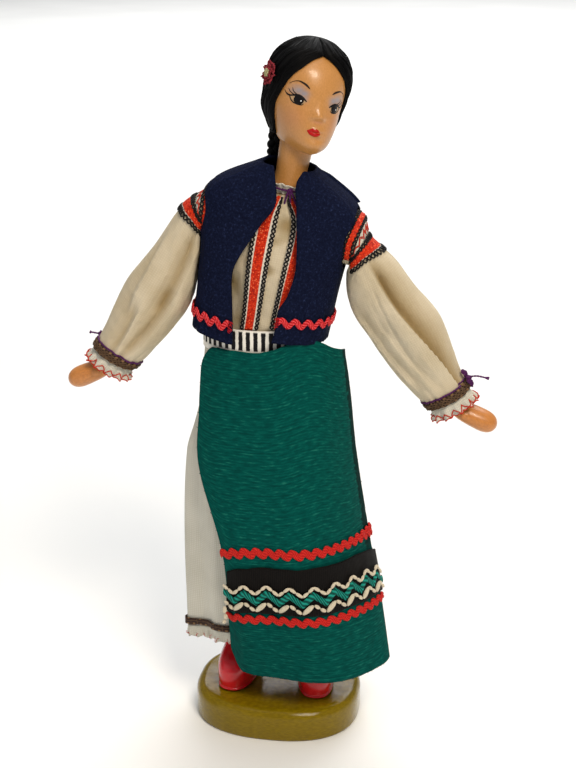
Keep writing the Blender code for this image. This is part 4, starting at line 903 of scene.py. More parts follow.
trim_length, trim_angle = walker(lambda a: trim_place(a, 0.0, 0.0), *TRIM_ENDS)
piece("vest_wave_braid", rickrack_mesh(lambda s, dz, lift: trim_place(trim_angle(s), dz, lift),
    trim_length, 0.0052, 0.0012, 0.0026, 0.2), coral, "figure", "vest_rickrack",
    (0.0004, -1))
random.seed(4)
fray = []
for end, way in ((0.0, -1), (trim_length, 1)):
    for k in range(14):
        dz = random.uniform(-0.0022, 0.0022)
        reach = random.uniform(0.0008, 0.0020)
        foot = trim_place(trim_angle(end), dz, 0.0003)
        ahead = (foot - trim_place(trim_angle(end - way * 0.002), dz, 0.0003)).normalized()
        fray.append([foot + ahead * reach * t
            + Vector((0, -0.0004, random.uniform(-0.0004, 0.0004))) * t
            for t in (0.0, 0.35, 0.7, 1.0)])
piece("vest_braid_fray", tube_mesh(fray, 0.00013, 4), coral, "figure")


# Apron. One straight length of heavy green wool, woven with slubs across and hung from the waist.
# Its lower corner at the doll's right rounds back, the other stays sharp; both sides are raw edges.

WOVEN = 0.0010
APRON_TOP, APRON_HEM = 0.1700, 0.0305
RIGHT_SWEEP, LEFT_SWEEP = radians(65), radians(88)
APRON_FOLDS, APRON_FOLD_DEPTH = 2.5, 0.0007
# Apron stations: height, then x and y of the doll's right edge, the front line and its left edge
APRON = ((0.0305, -0.0160, -0.0200, 0.0150, -0.0285, 0.0470, -0.0030),
         (0.0580, -0.0160, -0.0275, 0.0110, -0.0312, 0.0422, 0.0020),
         (0.0880, -0.0178, -0.0290, 0.0079, -0.0322, 0.0360, 0.0060),
         (0.1220, -0.0290, -0.0198, 0.0045, -0.0262, 0.0308, 0.0055),
         (0.1470, -0.0294, -0.0140, 0.0018, -0.0222, 0.0284, 0.0048),
         (0.1700, -0.0288, -0.0090, -0.0008, -0.0184, 0.0258, 0.0040))


def apron_base(u, z):
    """A point of the apron's back, with u from -1 at the doll's right to 1 at its left."""
    right_x, right_y, front_x, front_y, left_x, left_y = along(APRON, z)
    arc, edge_x, edge_y = (RIGHT_SWEEP, right_x, right_y) if u < 0 else (LEFT_SWEEP, left_x, left_y)
    turn = abs(u) * arc
    across = sin(turn) / sin(arc)
    back = (1 - cos(turn)) / (1 - cos(arc))
    return Vector((front_x + (edge_x - front_x) * across, front_y + (edge_y - front_y) * back, z))


def apron_point(u, z, offset):
    step = 0.01
    along_width = apron_base(u + step, z) - apron_base(u - step, z)
    along_drop = apron_base(u, z + 0.014 * step) - apron_base(u, z - 0.014 * step)
    outward = along_width.cross(along_drop).normalized()
    drop = (APRON_TOP - z) / (APRON_TOP - APRON_HEM)
    fold = APRON_FOLD_DEPTH * drop * (1 + sin(pi * APRON_FOLDS * u))
    return apron_base(u, z) + outward * (offset + fold)


def apron_hem(u):
    """Height of the hem, which rounds up at the doll's right."""
    return APRON_HEM + 0.0095 * max(0.0, (-u - 0.70) / 0.30) ** 1.8


def apron_top(u):
    """Height of the top edge, pulled up under the vest at the doll's left, lower at its corner."""
    pulled = 0.0056 * exp(-((u - 0.36) / 0.28) ** 2) - 0.0036 * max(0.0, (u - 0.55) / 0.45) ** 1.2
    return APRON_TOP + 0.0004 + pulled


CORNER_IN, CORNER_FROM, CORNER_REACH = 0.24, 0.1595, 0.0108


def apron_cloth(u, t, offset):
    """A point of the worn cloth, t from the hem to the waist, with its wear."""
    z = apron_hem(u) + (apron_top(u) - apron_hem(u)) * t
    sway = 0.0006 * noise.noise(Vector((3.5 * u, 30 * z, 1.0))) + 0.00018 * noise.noise(
        Vector((14 * u, 260 * z, 5.0)))
    edge = 1 + 0.006 * noise.noise(Vector((60 * z, 4.0, 0.0))) * abs(u) ** 8
    if u < 0:  # drawn in where the band holds it
        edge -= CORNER_IN * max(0.0, (z - CORNER_FROM) / CORNER_REACH) ** 2
    return apron_point(u * edge, z, offset + min(sway, 0.0001))


apron_rows = [[apron_cloth(u, t, WOVEN - 0.0001) for u in steps(-1, 1, 130)]
    for t in steps(0, 1, 130)]
apron_lengths = [(b - a).length for row in apron_rows for a, b in zip(row, row[1:])]
APRON_MM = 1000 * sum(apron_lengths) / len(apron_rows)
# Slubbed wool is dark green and matt, with lighter thick threads across it.
wool = new_material("green slubbed wool")
wool_uv = add_node(wool, "ShaderNodeTexCoord").outputs["UV"]
WEFT_MM = 1.1  # the real weft threads are 0.6 mm apart, drawn coarser to stay visible
wool_weft = add_node(wool, "ShaderNodeTexWave",
    {"Vector": wool_uv, "Scale": WAVE / WEFT_MM, "Distortion": 0.9, "Detail": 2.0,
    "Detail Scale": 1.6}, bands_direction="Y")
wool_stretch = add_node(wool, "ShaderNodeMapping", {"Vector": wool_uv, "Scale": (0.24, 0.95, 1.0)})
wool_slub = add_node(wool, "ShaderNodeTexNoise",
    {"Vector": wool_stretch, "Scale": 1.0, "Detail": 3.0, "Roughness": 0.6})
wool_thread = add_node(wool, "ShaderNodeMath", {0: wool_weft, 1: 0.09, 2: wool_slub},
    operation="MULTIPLY_ADD")
wool_dye = add_node(wool, "ShaderNodeValToRGB", {"Fac": wool_thread},
    stops=[(0.36, "003E3A"), (0.54, "004943"), (0.66, "03544B"), (0.80, "1E6C5E")])
# A painted shadow: above the trims, a ragged strip along the doll's left edge is darkened, standing
# for the cloth's edge turning back into shade.
EDGE_MM, RAGGED_MM, EDGE_SOFT_MM = 2.5, 7.0, 0.6
ABOVE_TRIMS_MM = (46.0, 54.0)
wool_split = add_node(wool, "ShaderNodeSeparateXYZ", {"Vector": wool_uv})
wool_ragged = add_node(wool, "ShaderNodeTexNoise", {"Vector": wool_uv, "Scale": 0.4, "Detail": 3.0})
wool_reach = add_node(wool, "ShaderNodeMath",
    {0: wool_ragged, 1: RAGGED_MM, 2: wool_split.outputs["X"]}, operation="MULTIPLY_ADD")
wool_edge = add_node(wool, "ShaderNodeMapRange",
    {"Value": wool_reach, "From Min": APRON_MM - EDGE_MM,
    "From Max": APRON_MM - EDGE_MM + EDGE_SOFT_MM})
wool_above = add_node(wool, "ShaderNodeMapRange",
    {"Value": wool_split.outputs["Y"], "From Min": ABOVE_TRIMS_MM[0],
    "From Max": ABOVE_TRIMS_MM[1]})
wool_painted_shadow = add_node(wool, "ShaderNodeMath", {0: wool_edge, 1: wool_above}, operation="MULTIPLY")
# The strip takes the dark colour of a painted shadow.
wool_tone = add_node(wool, "ShaderNodeMixRGB",
    {"Fac": wool_painted_shadow, "Color1": wool_dye, "Color2": linear("032825")})
wool_bump = add_node(wool, "ShaderNodeBump",
    {"Strength": 0.6, "Distance": 0.0004, "Height": wool_thread})
shader = add_node(wool, "ShaderNodeBsdfPrincipled",
    {"Base Color": wool_tone, "Roughness": 0.85, "Normal": wool_bump, "Specular IOR Level": 0.05})
add_node(wool, "ShaderNodeOutputMaterial", {"Surface": shader})
apron = piece("wool_apron", grid_mesh(apron_rows), wool, "figure", "apron",
    (0.0008, -1))
random.seed(11)
fray = []
for k in range(520):
    side = -1 if k % 3 == 0 else 1
    t = random.uniform(0.02, 0.96)
    foot = apron_cloth(side, t, WOVEN / 2)
    ahead = (foot - apron_cloth(side * 0.98, t, WOVEN / 2)).normalized()
    reach = random.uniform(0.0003, 0.0016) * random.random()
    drift = Vector((random.uniform(-1, 1), random.uniform(-1, 1), random.uniform(-1.2, 0.6)))
    fray.append([foot + ahead * (reach * s - 0.0005) + drift * 0.0005 * s * s
        for s in (0.0, 0.4, 0.7, 1.0)])
for k in range(260):
    u = random.uniform(-0.95, 0.99)
    foot = apron_cloth(u, 0.0, WOVEN / 2)
    drift = Vector((random.uniform(-0.5, 0.5), random.uniform(-0.5, 0.3), 0.0))
    reach = random.uniform(0.0002, 0.0010)
    fray.append([foot + Vector((0, 0, 0.0004 - reach * s)) + drift * 0.0006 * s * s
        for s in (0.0, 0.5, 1.0)])
piece("apron_raw_edges", tube_mesh(fray, 0.00014, 4), wool, "figure")


# Apron trims. Six bands sewn across the apron: a red rickrack, a black ribbon, and on the ribbon a
# wavy galloon of cream chain, teal braid and beaded cream chain; then a second red rickrack.

TRIM_REACH, RICKRACK_REACH = 1.012, 1.035
RICKRACK_PERIOD = 0.0050
# Trims: height, rise in the middle, droop at the doll's left end
TRIM_BOW = ((0.0580, 0.0018, 0.0008), (0.0648, 0.0022, 0.0030), (0.0812, 0.0030, 0.0042),
            (0.0868, 0.0034, 0.0))
# Plaited cotton again, a plainer scarlet.
scarlet = banded("scarlet rickrack cotton", 0.7, 1.5,
                 [(0.2, "B01614"), (0.6, "C41E19"), (0.9, "D02C22")], (0.3, 0.0002))


def trim_point(u, z, offset):
    """A point of a trim, which bows up in the middle of the apron."""
    rise, droop = along(TRIM_BOW, z)
    return apron_point(u, z + rise * (1 - u * u) - droop * max(0.0, u) ** 6, offset)


def trim_walk(z, reach=TRIM_REACH):
    """Length of a trim across the apron at z, and the u at each length."""
    return walker(lambda u: trim_point(u, z, WOVEN), -reach, reach)


for level, z in (("upper", 0.0868), ("lower", 0.0580)):
    length, u_at = trim_walk(z, RICKRACK_REACH)

    def on_apron(s, dz, lift):
        return trim_point(u_at(s), z + dz, WOVEN + GAP + lift)

    piece("apron_wave_braid_" + level, rickrack_mesh(on_apron, length, RICKRACK_PERIOD, 0.0008,
        0.0030), scarlet, "figure", "apron_rickrack_" + level, (0.0004, -1))

# Ribbed satin: black with hardly any shine.
satin = banded("black satin ribbon", 0.9, 0.6, [(0.2, "070605"), (0.8, "110D0C")], (0.25, 0.0002),
               "X", 1.0, 0.1)
BAND_BLACK = (0.0612, 0.0812)
rows = []
for t in steps(0, 1, 24):
    row = []
    for j in range(161):
        u = -TRIM_REACH + 0.11 * t + (2 * TRIM_REACH - 0.11 * t) * j / 160
        z = BAND_BLACK[0] + (BAND_BLACK[1] - BAND_BLACK[0]) * t - 0.0024 * t * max(0.0, -u) ** 3
        z += 0.0006 * (2 * t - 1) * noise.noise(Vector((5 * u, 3.0, 8.0)))
        row.append(trim_point(u, z, WOVEN + GAP
            + 0.00015 * noise.noise(Vector((12 * u, 200 * z, 2.0)))))
    rows.append(row)
piece("apron_satin_band", grid_mesh(rows), satin, "figure", "apron_black_band",
    (0.0005, 1))

# Twisted cord: cream, matt, darker between its strands.
cord = grainy("cream twisted cord", {"Scale": 1400.0, "Detail": 3.0, "Roughness": 0.6},
              [(0.3, "B4A484"), (0.5, "D9CDB5"), (0.75, "E8E0CC")],
              {"Roughness": 0.6, "Specular IOR Level": 0.15}, (0.5, 0.0003))
GALLOON_PERIOD, GALLOON_SWING = 0.0095, 0.0019
ON_BAND = WOVEN + GAP + 0.0009


def galloon_wave(s):
    """Height of the galloon's rounded zigzag at a length along it."""
    t = (s / GALLOON_PERIOD) % 1.0
    sharp = 4 * abs(t - 0.5) - 1
    return GALLOON_SWING * (0.75 * sharp + 0.25 * sin(pi / 2 * sharp))


def bead_mesh(beads):
    """Oval beads, each given by its place, two ends' direction, outward, half length and radius."""
    bm = bmesh.new()
    for centre, ahead, outward, half, radius in beads:
        aside = outward.cross(ahead).normalized()
        spot = Matrix((ahead * half, aside * radius, outward * radius * 0.8)).transposed().to_4x4()
        spot.translation = centre
        bmesh.ops.create_uvsphere(bm, u_segments=12, v_segments=8, radius=1.0,
            matrix=spot @ Matrix.Rotation(pi / 2, 4, "Y"))
    return smooth_mesh(bm)


def galloon_bead(at, s0, s1, radius, lift):
    """A bead along the zigzag from s0 to s1, on at(along, rise, lift)."""
    low, high = at(s0, galloon_wave(s0), lift), at(s1, galloon_wave(s1), lift)
    outward = (at(s0, galloon_wave(s0), lift + 0.001) - low).normalized()
    return ((low + high) / 2, (high - low).normalized(), outward, (high - low).length / 2 * 1.06,
        radius)


for level, z in (("upper", 0.0722), ("lower", 0.0648)):
    length, u_at = trim_walk(z)

    def on_band(s, dz, lift):
        return trim_point(u_at(s), z + dz, ON_BAND + lift)

    beads = []
    half_turn = GALLOON_PERIOD / 2
    for k in range(int(length / half_turn)):
        s = k * half_turn
        rising = k % 2 == 1
        if level == "upper":
            beads += [galloon_bead(on_band, s + half_turn * a, s + half_turn * b, 0.00075, 0.0006)
                      for a, b in ((0.0, 0.5), (0.5, 1.0))]
        elif rising:
            beads.append(galloon_bead(on_band, s + half_turn * 0.04, s + half_turn * 0.96, 0.00115,
                0.0008))
        else:
            beads += [galloon_bead(on_band, s + half_turn * a, s + half_turn * b, 0.0008, 0.0006)
                      for a, b in ((0.06, 0.48), (0.52, 0.94))]
    if level == "lower":
        hang = trim_point(-0.965, z, ON_BAND + 0.0012)
        for k, (drop, half) in enumerate(((0.0020, 0.0016), (0.0052, 0.0013), (0.0076, 0.0010))):
            beads.append((hang + Vector((0.0004 * sin(2 * k), -0.0003, -drop)),
                          Vector((0.12 * sin(2 * k), 0, -1)).normalized(), Vector((0, -1, 0)),
                          half, 0.0009))
    piece("apron_beads_" + level, bead_mesh(beads), cord, "figure",
        "apron_chain_" + level)

# Padded braid: teal with broad slanting ribs.
teal = banded("teal braid cotton", 1.1, 2.0, [(0.2, "00463E"), (0.6, "007468"), (0.9, "1A9484")],
              (0.6, 0.0003))
BRAID_Z = 0.0685
length, u_at = trim_walk(BRAID_Z)
rows = []
for k in range(11):
    t = k / 10 - 0.5
    row = []
    for i in range(int(length / STEP) + 1):
        s = STEP * i
        pad = 0.0008 * (1 - (2 * t) ** 2) * (0.8 + 0.2 * cos(4 * pi * s / GALLOON_PERIOD))
        row.append(trim_point(u_at(s), BRAID_Z + galloon_wave(s) + 0.0034 * t, ON_BAND + pad))
    rows.append(row)
piece("apron_teal_braid", grid_mesh(rows), teal, "figure", "apron_green_braid",
    (0.0004, -1))


# Head. Hollow tan vinyl with a moulded nose, lips and chin, on a neck that turns on its plug.
# Eyes, brows, lashes and lips are painted on, with grey-blue eye shadow sprayed up to the brows.

NECK_Z = 0.060812
HEAD = LEAN @ Matrix.Translation((0.0, 0.0, NECK_Z)) @ Matrix.Rotation(radians(-8), 4, "X") \
    @ Matrix.Rotation(radians(29), 4, "Z")
# Head stations: height over the neck's foot, half width, depth of the face, depth of the skull
HEAD_SHAPE = ((0.0163, 0.0024, 0.0108, 0.0038), (0.0172, 0.0052, 0.0132, 0.0066),
              (0.0195, 0.0086, 0.0150, 0.0095), (0.0238, 0.0110, 0.0160, 0.0133),
              (0.0301, 0.0130, 0.0160, 0.0171), (0.0367, 0.0140, 0.0160, 0.0186),
              (0.0429, 0.0146, 0.0154, 0.0190), (0.0484, 0.0139, 0.0134, 0.0175),
              (0.0531, 0.0105, 0.0093, 0.0125), (0.0562, 0.0053, 0.0042, 0.0065))
NOSE = ((0.0286, 0.0), (0.0294, 0.0002), (0.0301, 0.0010), (0.0310, 0.0018), (0.0320, 0.0017),
        (0.0340, 0.0008), (0.0370, 0.0003), (0.0400, 0.0))
# The face is painted about a point beside the middle and tips a little to the doll's right
FACE_X, FACE_Z, FACE_ROLL = -0.0006, 0.0330, radians(-3.5)
JAW_SHIFT = 0.0019  # the chin stands to the doll's left of the neck


def face_place(u, v):
    """Head x and z of a place on the face, u to the doll's left and v up, in millimetres."""
    c, s = cos(FACE_ROLL), sin(FACE_ROLL)
    return FACE_X + (u * c - v * s) / 1000, FACE_Z + (u * s + v * c) / 1000


def hump(x, z, at_x, at_z, wide, tall):
    return exp(-((x - at_x) / wide) ** 2 - ((z - at_z) / tall) ** 2)


def face_relief(x, z):
    """Height of the moulded features over the plain oval of the face."""
    nose_wide = 0.0023 + 0.0003 * max(0.0, min(1.0, (0.0345 - z) / 0.003))
    relief = along(NOSE, z)[0] * exp(-((x - 0.0001) / nose_wide) ** 2)
    relief += 0.0004 * hump(abs(x), z, 0.0019, 0.0303, 0.0009, 0.0009)
    for side in (-1, 1):
        eye_x, eye_z = face_place(side * 7.2, 3.0)
        relief -= 0.0007 * hump(x, z, eye_x - side * 0.0008, eye_z + 0.0004, 0.0042, 0.0032)
        relief += 0.0006 * hump(x, z, eye_x, eye_z - 0.0003, 0.0026, 0.0017)
        relief += 0.0004 * hump(x, z, side * 0.0080, 0.0295, 0.0045, 0.0040)
    relief += 0.0007 * hump(x, z, -0.0003, 0.0260, 0.0024, 0.0008)
    relief += 0.0008 * hump(x, z, -0.0003, 0.0244, 0.0020, 0.0008)
    relief -= 0.0004 * hump(x, z, -0.0003, 0.0252, 0.0026, 0.0003)
    relief -= 0.0005 * hump(x, z, -0.0002, 0.0225, 0.0030, 0.0010)
    relief += 0.0006 * hump(x, z, 0.0, 0.0200, 0.0034, 0.0018)
    return relief


def head_point(angle, z, offset):
    wide, face, skull = along(HEAD_SHAPE, z)
    c, s = cos(angle), sin(angle)
    x = (wide + offset) * c
    y = ((skull if s > 0 else face) + offset) * s
    if s < 0:
        y -= face_relief(x, z) * min(1.0, -3 * s)
    x += JAW_SHIFT * max(0.0, (FACE_Z - z) / (FACE_Z - HEAD_SHAPE[0][0]))
    return Vector((x, y, z + offset * max(0.0, (z - 0.0429) / 0.0133)))


def face_point(u, v, lift):
    """A point over the face's surface, for paint."""
    x, z = face_place(u, v)
    points = []
    for at_x, at_z in ((x, z), (x + 0.0002, z), (x, z + 0.0002)):
        wide = along(HEAD_SHAPE, at_z)[0]
        points.append(head_point(-acos(max(-1.0, min(1.0, at_x / wide))), at_z, 0.0))
    outward = (points[1] - points[0]).cross(points[2] - points[0]).normalized()
    return HEAD @ (points[0] + outward * lift)


# Painted vinyl: tan, faintly mottled, with sprayed blush and eye shadow under a satin shine.
head_skin = new_material("painted head vinyl")
head_paint = add_node(head_skin, "ShaderNodeAttribute", attribute_name="sprayed_paint")
head_spray = add_node(head_skin, "ShaderNodeSeparateColor", {"Color": head_paint.outputs["Color"]})
head_mottle = add_node(head_skin, "ShaderNodeTexNoise",
    {"Scale": 70.0, "Detail": 4.0, "Roughness": 0.55})
head_tone = add_node(head_skin, "ShaderNodeValToRGB", {"Fac": head_mottle},
    stops=[(0.3, "B67F40"), (0.55, "C08749"), (0.8, "C89053")])
head_blush = add_node(head_skin, "ShaderNodeMixRGB",
    {"Fac": head_spray.outputs["Green"], "Color1": head_tone, "Color2": linear("B4684C")})
head_shadow = add_node(head_skin, "ShaderNodeMixRGB",
    {"Fac": head_spray.outputs["Red"], "Color1": head_blush, "Color2": linear("848A98")})
head_grain = add_node(head_skin, "ShaderNodeTexNoise", {"Scale": 1800.0, "Detail": 2.0})
head_bump = add_node(head_skin, "ShaderNodeBump",
    {"Strength": 0.015, "Distance": 0.0002, "Height": head_grain})
shader = add_node(head_skin, "ShaderNodeBsdfPrincipled",
    {"Base Color": head_shadow, "Roughness": 0.38, "Normal": head_bump, "IOR": 1.5,
    "Coat Weight": 0.22, "Coat Roughness": 0.15})
add_node(head_skin, "ShaderNodeOutputMaterial", {"Surface": shader})


def joined(parts):
    """Several meshes as one."""
    bm = bmesh.new()
    for part in parts:
        bm.from_mesh(part)
    return smooth_mesh(bm)


HEAD_ROWS, HEAD_TURNS = 110, 168
rings = []
for t in steps(0, 1, HEAD_ROWS):
    z = HEAD_SHAPE[0][0] + (HEAD_SHAPE[-1][0] - HEAD_SHAPE[0][0]) * (t + 0.06 * sin(tau * t) / pi)
    ring = []
    for turn in turns(HEAD_TURNS):
        ring.append(head_point(turn + 0.35 * cos(turn), z, 0.0))
    rings.append(ring)
neck_rings = [oval(r, r, z, 48) for z, r in ((0.0, 0.0062), (0.0008, 0.0065), (0.0040, 0.0062),
    (0.0080, 0.0061), (0.0120, 0.0063), (0.0160, 0.0066), (0.0210, 0.0068), (0.0240, 0.0060))]
head_mesh = joined([grid_mesh(part, closed=True, cap=True) for part in (rings, neck_rings)])
spray = head_mesh.color_attributes.new("sprayed_paint", "FLOAT_COLOR", "POINT")
# Sprayed eye shadow: u and v of soft spots over each eye, their half width and height, strength
SHADOW_SPOTS = ((6.2, 5.2, 1.7, 1.3, 0.85), (7.9, 5.9, 1.9, 1.5, 0.8), (9.2, 5.6, 1.5, 1.2, 0.6),
                (5.2, 3.9, 0.9, 1.4, 0.6), (8.4, 7.2, 2.0, 0.9, 0.45))
for vertex in head_mesh.vertices:
    x, y, z = vertex.co
    red = green = 0.0
    if y < 0 and z > 0.018:
        for side in (-1, 1):
            for u, v, wide, tall, strength in SHADOW_SPOTS:
                at_x, at_z = face_place(side * u, v)
                red = max(red, strength * hump(x, z, at_x, at_z, wide / 1000, tall / 1000) ** 0.8)
            green = max(green, 0.22 * hump(x, z, side * 0.0085, 0.0290, 0.0045, 0.0050))
        green = max(green, 0.35 * hump(x, z, 0.0002, 0.0289, 0.0022, 0.0008))
    spray.data[vertex.index].color = (red, green, 0.0, 1.0)
head_mesh.transform(HEAD)
piece("vinyl_head", head_mesh, head_skin, "head", "head")


PAINT = 0.00005


def paint_patch(name, outline, lift, mat):
    """A filled patch of paint inside an outline of (u, v) points."""
    mid_u = sum(p[0] for p in outline) / len(outline)
    mid_v = sum(p[1] for p in outline) / len(outline)
    rows = []
    for k in range(7):
        grow = k / 6 if k else 0.02
        rows.append([face_point(mid_u + (u - mid_u) * grow, mid_v + (v - mid_v) * grow,
            lift * (1 - 0.6 * grow ** 4)) for u, v in outline])
    rows.reverse()
    rows.append([face_point(mid_u, mid_v, lift) for _ in outline])
    piece(name, grid_mesh(rows, closed=True), mat, "head", thick=(PAINT, 0))


def paint_stroke(name, strokes, lift, mat):
    """Brush strokes: each a list of (u, v, half width) points along its line."""
    parts = []
    for stroke in strokes:
        stations = [(float(i),) + tuple(p) for i, p in enumerate(stroke)]
        count = 10 * (len(stroke) - 1)
        rows = []
        for i in range(count + 1):
            at = i / 10
            u, v, half = along(stations, at)
            u1, v1, _ = along(stations, min(at + 0.05, len(stroke) - 1))
            u0, v0, _ = along(stations, max(at - 0.05, 0.0))
            turn = hypot(u1 - u0, v1 - v0) or 1.0
            aside = (-(v1 - v0) / turn, (u1 - u0) / turn)
            rows.append([face_point(u + aside[0] * half * w, v + aside[1] * half * w,
                lift * (1 - 0.5 * w * w)) for w in (-1, -0.5, 0, 0.5, 1)])
        parts.append(grid_mesh(rows))
    piece(name, joined(parts), mat, "head", thick=(PAINT, 0))


def enamel(name, dark, light, roughness):
    """Brushed enamel paint: smooth, a little streaky, with a low shine."""
    return grainy(name, {"Scale": 900.0, "Detail": 3.0}, [(0.3, dark), (0.7, light)],
                  {"Roughness": roughness, "Specular IOR Level": 0.2})


black_enamel = enamel("black enamel paint", "060405", "100B0C", 0.4)
brown_enamel = enamel("brown-black brow paint", "1A120E", "2A1C14", 0.4)
white_enamel = enamel("tan-white eye paint", "A2825E", "BA9A74", 0.4)
glint_enamel = enamel("white glint paint", "E8E8E8", "F4F4F2", 0.3)
red_enamel = enamel("red lip paint", "9E0A0C", "C01414", 0.25)
# Eye of one side: u outward and v up in millimetres
EYE_OUTLINE = ((4.9, 2.7), (5.6, 3.3), (6.4, 3.8), (7.4, 4.1), (8.4, 4.05), (9.3, 3.7), (10.2, 3.2),
               (9.7, 2.1), (9.1, 1.5), (8.4, 1.1), (7.4, 0.9), (6.4, 1.0), (5.7, 1.4), (5.2, 2.0))
LID = ((4.6, 2.5, 0.14), (5.3, 3.05, 0.32), (6.3, 3.6, 0.48), (7.4, 4.0, 0.52), (8.4, 4.05, 0.42),
       (9.3, 3.75, 0.30), (10.2, 3.4, 0.24), (10.9, 3.55, 0.16), (11.6, 4.4, 0.05))
LOW_LID = ((10.2, 3.2, 0.10), (9.7, 2.1, 0.14), (8.7, 1.15, 0.16), (7.2, 0.85, 0.20),
    (6.0, 1.0, 0.16), (5.5, 1.5, 0.06))
LASHES = (((8.2, 4.3, 0.16), (9.5, 5.2, 0.11), (10.1, 6.5, 0.04)),
          ((9.1, 4.0, 0.15), (10.4, 4.8, 0.10), (11.1, 5.9, 0.04)),
          ((10.0, 3.5, 0.14), (11.1, 3.9, 0.09), (11.9, 4.9, 0.04)))
BROW = ((11.3, 7.6, 0.05), (10.3, 8.7, 0.10), (8.9, 9.3, 0.16), (7.6, 9.1, 0.30), (6.1, 8.5, 0.38),
        (5.1, 7.8, 0.24), (4.6, 7.4, 0.06))
LIPS = ((-2.5, 0.0), (-1.9, 0.45), (-1.2, 0.95), (-0.6, 1.25), (0.0, 0.95), (0.6, 1.2), (1.2, 0.95),
    (1.9, 0.45), (2.4, 0.0), (1.9, -0.75), (1.2, -1.25), (0.4, -1.5), (-0.4, -1.5), (-1.2, -1.3),
    (-1.9, -0.8))


def rounded(outline, count=56):
    """A smooth closed outline through a few points."""
    wrapped = [outline[-2], outline[-1]] + list(outline) + [outline[0], outline[1]]
    stations = [(float(i - 2),) + tuple(p) for i, p in enumerate(wrapped)]
    return [tuple(along(stations, len(outline) * k / count)) for k in range(count)]


for side, sign in (("left", 1), ("right", -1)):
    paint_patch("eye_white_" + side, [(sign * u, v) for u, v in rounded(EYE_OUTLINE)], 0.00006,
        white_enamel)
    iris = [(sign * (7.3 + 1.7 * cos(a)), 2.6 + 1.72 * sin(a)) for a in turns(40)]
    paint_patch("iris_" + side, iris, 0.00011, black_enamel)
    glint_u = 7.35 + (0.75 if sign > 0 else -0.75)
    glint = [(sign * glint_u + 0.24 * cos(a), 2.35 + 0.28 * sin(a)) for a in turns(20)]
    paint_patch("glint_" + side, glint, 0.00016, glint_enamel)
    strokes = [[(sign * u, v, w) for u, v, w in line] for line in (LID, LOW_LID) + LASHES]
    paint_stroke("lashes_" + side, strokes, 0.00014, black_enamel)
    paint_stroke("brow_" + side, [[(sign * u, v, w) for u, v, w in BROW]], 0.00010, brown_enamel)
paint_patch("lips", [(1.08 * u - 0.1, -7.75 + 1.08 * v) for u, v in rounded(LIPS)], 0.00010,
    red_enamel)


# Hair. Black silky doll hair, parted in the middle and combed flat over the temples to the nape,
# with a few loose strands. A cloth flower is pinned over the doll's right ear.

HAIR_LOW, HAIRLINE_TOP, HAIR_TOP = 0.0214, 0.0530, 0.0562
# Hairline: height over the neck's foot, angle from the side towards the front in degrees
HAIRLINE = ((0.0214, 4.0), (0.0250, -4.0), (0.0305, -10.0), (0.0340, -16.0), (0.0385, -28.0),
            (0.0425, -37.0), (0.0455, -46.0), (0.0475, -55.0), (0.0493, -62.0), (0.0515, -74.0),
            (0.0530, -90.0))
HAIR_TURNS, HAIR_ROWS = 420, 64


def hair_point(t, z, lift):
    """A point of the combed hair, t from the hairline at the doll's left round to its right."""
    edge = radians(along(HAIRLINE, min(z, HAIRLINE_TOP))[0])
    angle = edge + (pi - 2 * edge) * t
    near = min(t, 1 - t)
    rise = min(1.0, max(0.0, (z - 0.0475) / 0.0080))
    thick = 0.0005 + 0.0014 * (1 - exp(-near / (0.045 * (1 - 0.85 * rise) + 0.004)))
    puff = 0.0009 * exp(-((z - 0.0300) / 0.0060) ** 2) * exp(-((near - 0.16) / 0.14) ** 2)
    comb = 220 * t + 5 * sin(140 * z)
    groove = 0.00028 * noise.noise(Vector((comb * 0.22, 3.0, 60 * z))) \
        + 0.00020 * noise.noise(Vector((comb * 0.60, 9.0, 40 * z)))
    part = 0.0006 * exp(-(near / 0.008) ** 2) * rise
    return head_point(angle, z, thick + puff + groove - part + lift) + Vector((0, 0, 0.0006 * rise))


# Silky doll hair: black locks side by side, with a soft dull sheen.
hair_silk = new_material("black doll hair")
hair_uv = add_node(hair_silk, "ShaderNodeTexCoord").outputs["UV"]
STRAND_MM = 0.5  # real strands are 0.08 mm, drawn as locks
hair_stretch = add_node(hair_silk, "ShaderNodeMapping",
    {"Vector": hair_uv, "Scale": (1 / STRAND_MM, 0.05, 1.0)})
hair_strand = add_node(hair_silk, "ShaderNodeTexNoise",
    {"Vector": hair_stretch, "Scale": 1.0, "Detail": 3.0, "Roughness": 0.6})
hair_tone = add_node(hair_silk, "ShaderNodeValToRGB", {"Fac": hair_strand},
    stops=[(0.3, "030304"), (0.6, "070708"), (0.85, "131214")])
hair_bump = add_node(hair_silk, "ShaderNodeBump",
    {"Strength": 0.5, "Distance": 0.0003, "Height": hair_strand})
shader = add_node(hair_silk, "ShaderNodeBsdfPrincipled",
    {"Base Color": hair_tone, "Roughness": 0.58, "Normal": hair_bump, "Specular IOR Level": 0.10})
add_node(hair_silk, "ShaderNodeOutputMaterial", {"Surface": shader})
rows = [[HEAD @ hair_point(t, z, 0.0) for t in steps(0, 1, HAIR_TURNS)]
        for z in steps(HAIR_LOW, HAIR_TOP, HAIR_ROWS)]
crown = sum((p for p in rows[-1]), Vector()) / len(rows[-1])
for shrink in (0.8, 0.55, 0.28, 0.02):
    dome = HEAD.to_3x3() @ Vector((0, 0, 0.0016 * (1 - shrink * shrink)))
    rows.append([crown + (p - crown) * shrink + dome for p in rows[HAIR_ROWS]])
piece("combed_hair", grid_mesh(rows), hair_silk, "head", "hair_cap", (0.0008, -1))
random.seed(21)
strands = []
STRANDS, EDGE_STRANDS = 210, 71  # the first ones lie along the two sides of the hairline
